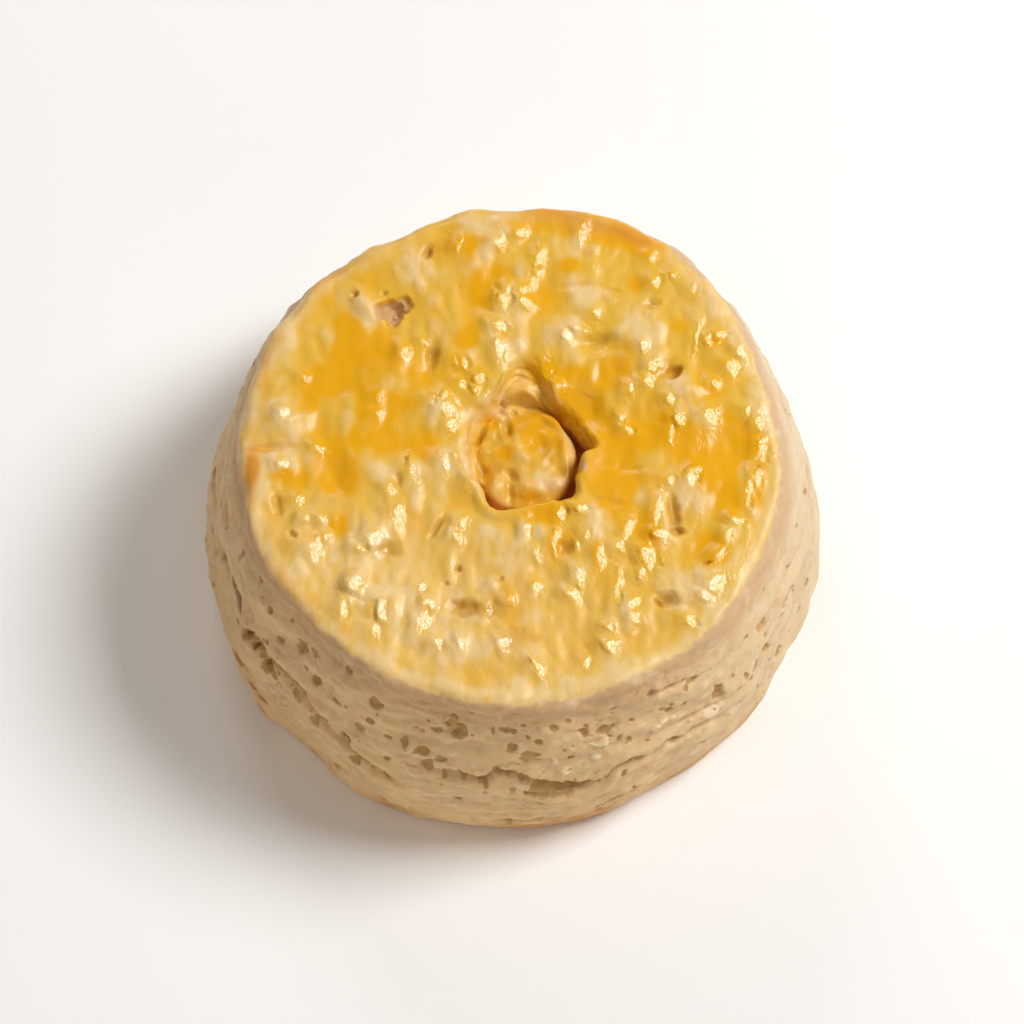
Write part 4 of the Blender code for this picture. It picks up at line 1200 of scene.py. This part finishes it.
push = (swell + lumps) * off_sole * (1 - 0.75 * on_side) * (1 - 0.8 * cut_open) + rim_bumps
push += relief_of_top() * on_top * (1 - 0.6 * cut_open) + side_relief * on_side
push, glinting = face_the_lamp(push)
points += outward * push[:, None]
points[:, 2] = np.maximum(points[:, 2], 0)
sparkling = np.maximum(glinting, shining)
masks = {
    "cover": cover, "pool": pool, "toast": toast, "pale": pale, "shade": in_shade,
    "groove": groove_toast_and_shade(), "flake": on_flake, "dent": dent_brown_and_plug_shade,
    "tan": np.maximum(tan_side_and_shade, in_pit), "band": under_rim_tone_and_shade, "hollow_shade": hollow_shade, "crumbly": crumbly,
    "cleft_shadow": in_cleft_shadow, "glint": sparkling * cover, "gloss": np.maximum(sparkling, 0.5 * pool),
}
print("masks:", ", ".join(masks))

# %% [markdown]
# ## Faces and smooth directions
#
# The skin is cut into four parts at three rings. The directions for smooth shading are worked out from
# the faces of the whole skin, so that no seam shows where two parts meet.
#
# %% Faces and smooth directions
side_middle = (cap_last + side_last) // 2
borders = [0, cap_last, side_middle, side_last, len(counts) - 1]


def part_faces(first_ring, last_ring):
    """All faces between two rings of the skin."""
    faces = []
    for ring in range(first_ring, last_ring):
        faces += ring_faces(firsts[ring], counts[ring], firsts[ring + 1], counts[ring + 1])
    return faces


def facing(faces):
    """The smooth direction of the whole skin at each point."""
    corners = [(f[0], f[1], f[2]) for f in faces]
    corners += [(f[0], f[2], f[3]) for f in faces if len(f) > 3]
    corners = np.array(corners)
    a, b, c = (points[corners[:, i]] for i in range(3))
    wide = np.cross(b - a, c - a)
    total = np.zeros_like(points)
    for i in range(3):
        np.add.at(total, corners[:, i], wide)
    return total / np.maximum(np.linalg.norm(total, axis=1), 1e-9)[:, None]


parts = [part_faces(first, last) for first, last in zip(borders, borders[1:])]
normals = facing(sum(parts, []))
print("faces of each part:", [len(faces) for faces in parts])

# %% [markdown]
# ## Tools for materials
#
# These helpers make the nodes that are needed again and again: a mask of the skin, a sum or product, a
# ramp and patches of noise. Sizes are in millimetres.
#
# %% Node helpers


def make_node(tree, kind, output, **inputs):
    """One output of a new node; an underscore in the name of an input stands for a space."""
    node = tree.nodes.new("ShaderNode" + kind)
    set_inputs(tree, node, {name.replace("_", " "): value for name, value in inputs.items()})
    return node.outputs[output]


def maths_node(tree, operation, *values):
    """A sum, product or maximum of two values, kept between 0 and 1."""
    node = tree.nodes.new("ShaderNodeMath")
    node.operation = operation
    node.use_clamp = True
    set_inputs(tree, node, dict(enumerate(values)))
    return node.outputs["Value"]


def mask_node(tree, name, most=1):
    """A mask of the skin, from 0 to the share that is given."""
    node = tree.nodes.new("ShaderNodeAttribute")
    node.attribute_name = name
    mask = node.outputs["Fac"]
    return mask if most == 1 else maths_node(tree, "MULTIPLY", mask, most)


def noise_node(tree, size, detail, stretch=(1, 1, 1)):
    """A noise texture whose lumps are about size mm wide, in the object's own coordinates."""
    place = make_node(tree, "TexCoord", "Object")
    scale = [1 / (size * MM * s) for s in stretch]
    scaled = make_node(tree, "Mapping", "Vector", Vector=place, Scale=scale)
    return make_node(tree, "TexNoise", "Fac", Vector=scaled, Scale=1, Detail=detail)


def ramp_node(tree, value, start, end, low_value=0.0, high_value=1.0):
    """The low value up to the start, the high value past the end, and a straight rise between."""
    ends = {"From_Min": start, "From_Max": end, "To_Min": low_value, "To_Max": high_value}
    return make_node(tree, "MapRange", "Result", Value=value, **ends)


def patches(tree, size, detail, start, end, most=1.0):
    """Patches of noise about size mm wide, from 0 to the share that is given."""
    return ramp_node(tree, noise_node(tree, size, detail), start, end, 0, most)


print("masks that the nodes can read:", len(masks))

# %% [markdown]
# ## Colour, bump and depth
#
# Colours are laid over each other like thin coats. A bump makes relief that is too fine for the mesh.
# Light goes about a millimetre into the dough, so each material has a little subsurface scattering.
#
# %% Colour and bump helpers
LIGHT_DEPTH = 1.0


def bump_node(tree, relief, depth, strength, **before):
    """A bump of so many mm; Normal is the bump below it."""
    sizes = {"Distance": depth * MM, "Strength": strength}
    return make_node(tree, "Bump", "Normal", Height=relief, **sizes, **before)


def mix_colour(tree, share, first, second):
    """A mix of two colours; each is a colour or another node's output."""
    node = tree.nodes.new("ShaderNodeMix")
    node.data_type = "RGBA"
    values = {"Factor": share}
    for name, value in (("A", first), ("B", second)):
        place = next(i for i, s in enumerate(node.inputs) if s.name == name and s.type == "RGBA")
        values[place] = (*value, 1) if isinstance(value, tuple) else value
    set_inputs(tree, node, values)
    return next(s for s in node.outputs if s.type == "RGBA")


def paint(tree, colour, layers):
    """Lays one colour after another over the first one, each by its own share."""
    for share, over in layers:
        colour = mix_colour(tree, share, colour, over)
    return colour


def let_light_in(weight, radii):
    """Subsurface scattering: how much, and each colour's share of the depth."""
    depth = {"Subsurface Scale": LIGHT_DEPTH * MM}
    return {"Subsurface Weight": weight, "Subsurface Radius": radii, **depth}


print("light goes in by mm:", LIGHT_DEPTH)

# %% [markdown]
# ## Colours
#
# The crumb goes from cream to tan, with pinkish and greyish patches, and painted brown shade in its
# pits, hollows and clefts. The egg is a warm yellow that turns deeper and more orange where it is thick,
# and brown in the dents, in the plug and low in the groove, partly as painted shade.
#
# %% Colours
PALE_CRUMB = (0.76, 0.61, 0.40)
# tan crumb; on the side's front and left it also stands for painted shade
TAN_CRUMB = (0.83, 0.56, 0.28)
PINK_CRUMB = (0.74, 0.44, 0.25)
GREY_CRUMB = (0.67, 0.52, 0.32)
# crumb tone and painted shade under the rim
RIM_BAND_TONE_AND_SHADE = (0.66, 0.40, 0.20)
FLAKE = (0.89, 0.74, 0.50)
# painted shade in the pits, pores and split of the side
PIT_SHADE_BROWN = (0.54, 0.32, 0.11)
BASE_BROWN = (0.62, 0.27, 0.07)
THIN_EGG = (0.81, 0.477, 0.047)
PALE_EGG = (0.87, 0.61, 0.26)
THICK_EGG = (0.85, 0.408, 0.001)
# brown of the dents, also painted shade on the plug and in the nook's crevices
DENT_BROWN_AND_SHADE = (0.47, 0.21, 0.006)
TOAST = (0.76, 0.31, 0.02)
# toast and painted shade low in the open cut
GROOVE_TOAST_AND_SHADE = (0.50, 0.13, 0.006)
# painted shade in the hollows of the side
HOLLOW_SHADE_CRUMB = (0.60, 0.39, 0.21)
# painted shadow in the clefts
CLEFT_SHADOW_BROWN = (0.27, 0.13, 0.025)
BROWN_SOLE = (0.50, 0.24, 0.07)
LIGHT_SOLE = (0.66, 0.38, 0.14)
FLOURY_SOLE = (0.78, 0.55, 0.28)
print("thin and thick egg:", THIN_EGG, THICK_EGG)

# %% [markdown]
# ## Crumb
#
# The side is dry crumb: matt, finely pitted, with painted shade in its hollows, pits and clefts. A torn
# mask has its soft edge broken up by fine noise, finer than the mesh, as torn crumb is. Groups of small
# pores are painted dark, as the shade in them, and bumped in where the side is crumbly.
#
# %% Crumb


def torn_mask(tree, name, most):
    """A mask whose soft edge is broken up finer than the mesh, as torn crumb is."""
    broken = maths_node(tree, "MULTIPLY", noise_node(tree, 0.55, 4), 0.75)
    return ramp_node(tree, maths_node(tree, "ADD", mask_node(tree, name), broken), 0.55, 0.95, 0, most)


def pores(tree, most=1):
    """Small holes in groups, wider than they are tall."""
    holes = ramp_node(tree, noise_node(tree, 0.6, 3, (1.3, 1.3, 0.8)), 0.6, 0.7)
    grouped = maths_node(tree, "MULTIPLY", holes, patches(tree, 3.5, 2, 0.5, 0.62))
    return maths_node(tree, "MULTIPLY", grouped, mask_node(tree, "crumbly", most))


def crumb_colour(tree):
    """Cream to tan crumb, pink and grey patches, pale flakes, and painted shade in pits, pores and hollows.
    """
    return paint(tree, PALE_CRUMB, [
        (mask_node(tree, "tan"), TAN_CRUMB),
        (patches(tree, 3.2, 3, 0.52, 0.7, 0.5), PINK_CRUMB),
        (patches(tree, 2.2, 4, 0.5, 0.8, 0.45), GREY_CRUMB),
        (mask_node(tree, "band", 0.75), RIM_BAND_TONE_AND_SHADE),
        (patches(tree, 1.9, 3, 0.54, 0.7, 0.4), FLAKE),
        (torn_mask(tree, "hollow_shade", 0.34), HOLLOW_SHADE_CRUMB),
        (torn_mask(tree, "flake", 0.65), FLAKE),
        (pores(tree, 0.6), PIT_SHADE_BROWN),
        (torn_mask(tree, "shade", 0.92), PIT_SHADE_BROWN),
        (torn_mask(tree, "cleft_shadow", 0.9), CLEFT_SHADOW_BROWN),
    ])


def crumb_bumps(tree):
    """Fine and coarse roughness, with the pores and the shaded pits sunk in."""
    rough = maths_node(tree, "MULTIPLY", noise_node(tree, 0.9, 4), mask_node(tree, "crumbly"))
    fine = bump_node(tree, noise_node(tree, 0.3, 3), 0.03, 0.5)
    coarse = bump_node(tree, rough, 0.17, 0.7, Normal=fine)
    holes = maths_node(tree, "MAXIMUM", pores(tree), torn_mask(tree, "shade", 1))
    return bump_node(tree, ramp_node(tree, holes, 0, 1, 1, 0), 0.18, 0.7, Normal=coarse)


def crumb_look(tree):
    """Matt crumb, toasted at the foot of the side."""
    browned = ramp_node(tree, noise_node(tree, 1.4, 4), 0.3, 0.65, 0.35, 1.0)
    toasted = maths_node(tree, "MULTIPLY", mask_node(tree, "toast"), browned)
    colour = mix_colour(tree, toasted, crumb_colour(tree), BASE_BROWN)
    look = {"Base Color": colour, "Normal": crumb_bumps(tree), "Roughness": 0.7, "Specular IOR Level": 0.3}
    return {**look, **let_light_in(0.06, (1.0, 0.55, 0.25))}


crumb = new_material("baked crumb", crumb_look)
print("nodes of the crumb:", len(crumb.node_tree.nodes))

# %% [markdown]
# ## Glazed cap
#
# The cap mixes thin egg, pale egg, thick egg, toast and brown by the masks, the brown partly painted
# shade, with a little drift of noise along the brush's way. It is satin all over and glossy at the
# glints and in the pools, and a fine sparkle bump breaks each glint into specks. Torn crumb shows where
# there is no egg.
#
# %% Glazed cap
ALONG_BRUSH = (0.8, 1.2, 1)
DRY, SATIN, GLOSSY = 0.75, 0.42, 0.14


def glaze_colour(tree):
    """Pale, thin and thick egg, toast, and brown partly as painted shade, mixed by masks, over bare crumb.
    """
    drift = ramp_node(tree, noise_node(tree, 1.5, 4, (0.7, 1.4, 1)), 0.35, 0.68)
    pale_drift = ramp_node(tree, drift, 0, 1, 1.5, 0.35)
    pool_drift = ramp_node(tree, drift, 0, 1, 0.88, 1.15)
    egg = paint(tree, THIN_EGG, [
        (maths_node(tree, "MULTIPLY", mask_node(tree, "pale"), pale_drift), PALE_EGG),
        (maths_node(tree, "MULTIPLY", mask_node(tree, "pool"), pool_drift), THICK_EGG),
        (mask_node(tree, "toast", 0.9), TOAST),
        (mask_node(tree, "dent", 0.85), DENT_BROWN_AND_SHADE),
        (mask_node(tree, "groove"), GROOVE_TOAST_AND_SHADE),
    ])
    return mix_colour(tree, torn_mask(tree, "cover", 1), crumb_colour(tree), egg)


def glaze_roughness(tree):
    """Dry where there is no egg, satin under it, and glossy where it shines."""
    shine = ramp_node(tree, mask_node(tree, "gloss"), 0, 1, SATIN, GLOSSY)
    return make_node(tree, "Mix", "Result", Factor=mask_node(tree, "cover"), A=DRY, B=shine)


def glaze_bumps(tree):
    """A low swell all over, and sharp specks where it glints."""
    specks = noise_node(tree, 0.42, 3, ALONG_BRUSH)
    sparkle = maths_node(tree, "MULTIPLY", specks, mask_node(tree, "glint"))
    fine = bump_node(tree, sparkle, 0.095, 1.0)
    return bump_node(tree, noise_node(tree, 1.3, 2, ALONG_BRUSH), 0.1, 0.25, Normal=fine)


def glaze_look(tree):
    """Egg glaze over the dough."""
    look = {"Base Color": glaze_colour(tree), "Normal": glaze_bumps(tree)}
    shine = {"Roughness": glaze_roughness(tree), "Specular IOR Level": 0.42}
    return {**look, **shine, **let_light_in(0.06, (1.0, 0.5, 0.1))}


glaze = new_material("egg glaze", glaze_look)
print("nodes of the glaze:", len(glaze.node_tree.nodes))

# %% [markdown]
# ## Browned sole
#
# The sole isn't seen. It is the browned skin that lay on the tray, with lighter floury patches.
#
# %% Browned sole


def sole_look(tree):
    """Brown baked skin, matt and a little rough."""
    brown = patches(tree, 6, 5, 0.3, 0.7)
    floury = patches(tree, 0.7, 3, 0.55, 0.75, 0.5)
    colour = paint(tree, BROWN_SOLE, [(brown, LIGHT_SOLE), (floury, FLOURY_SOLE)])
    normal = bump_node(tree, noise_node(tree, 0.6, 4), 0.2, 0.5)
    look = {"Base Color": colour, "Normal": normal, "Roughness": 0.6}
    return {**look, **let_light_in(0.1, (1.0, 0.5, 0.2))}


browned_skin = new_material("browned sole", sole_look)
print("nodes of the sole:", len(browned_skin.node_tree.nodes))

# %% [markdown]
# ## The four pieces
#
# Each piece takes its own faces out of the whole skin and is closed inside by a fan to one point, so
# every piece is a solid body. The directions for shading come from the whole skin. All four ride on
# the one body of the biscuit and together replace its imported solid.
#
# %% Build the pieces
PIECES = [  # name, material, and for each border ring: which ring, whether its fan faces down, its height
    ("glazed_cap", glaze, [(cap_last, True, 18.0)]),
    ("upper_crumb", crumb, [(cap_last, False, 17.5), (side_middle, True, 12.0)]),
    ("lower_crumb", crumb, [(side_middle, False, 11.5), (side_last, True, 6.0)]),
    ("browned_sole", browned_skin, [(side_last, False, 5.5)]),
]


def closed_inside(faces, closings):
    """The part's own points, directions and faces, with a fan inside from each border ring."""
    used = np.unique(np.concatenate([np.array(f) for f in faces]))
    number = np.full(len(points), -1)
    number[used] = np.arange(len(used))
    corners = [tuple(number[list(f)]) for f in faces]
    places, directions = points[used], normals[used]
    for ring, faces_down, inner_height in closings:
        middle = len(places)
        places = np.vstack([places, [0, 0, inner_height]])
        directions = np.vstack([directions, [0, 0, -1 if faces_down else 1]])
        border = number[firsts[ring]:firsts[ring] + counts[ring]]
        for a, b in zip(border, np.roll(border, -1)):
            corners.append((middle, b, a) if faces_down else (middle, a, b))
    return used, places, directions, corners


def make_piece(name, faces, closings, material):
    """One closed piece of the skin, with its masks, its material and its place in the frame."""
    used, places, directions, corners = closed_inside(faces, closings)
    mesh = bpy.data.meshes.new(name)
    mesh.from_pydata((places * MM).tolist(), [], [tuple(map(int, f)) for f in corners])
    for mask, values in masks.items():
        layer = mesh.attributes.new(mask, "FLOAT", "POINT")
        padded = np.concatenate([values[used], np.zeros(len(places) - len(used))])
        layer.data.foreach_set("value", padded.astype(np.float32))
    mesh.shade_smooth()
    mesh.normals_split_custom_set_from_vertices(directions.tolist())
    mesh.materials.append(material)
    piece = new_object(name, mesh)
    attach(piece, "root")
    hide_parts("biscuit")
    print(name, "triangles:", sum(len(p.vertices) - 2 for p in mesh.polygons))


for (name, material, closings), faces in zip(PIECES, parts):
    make_piece(name, faces, closings, material)
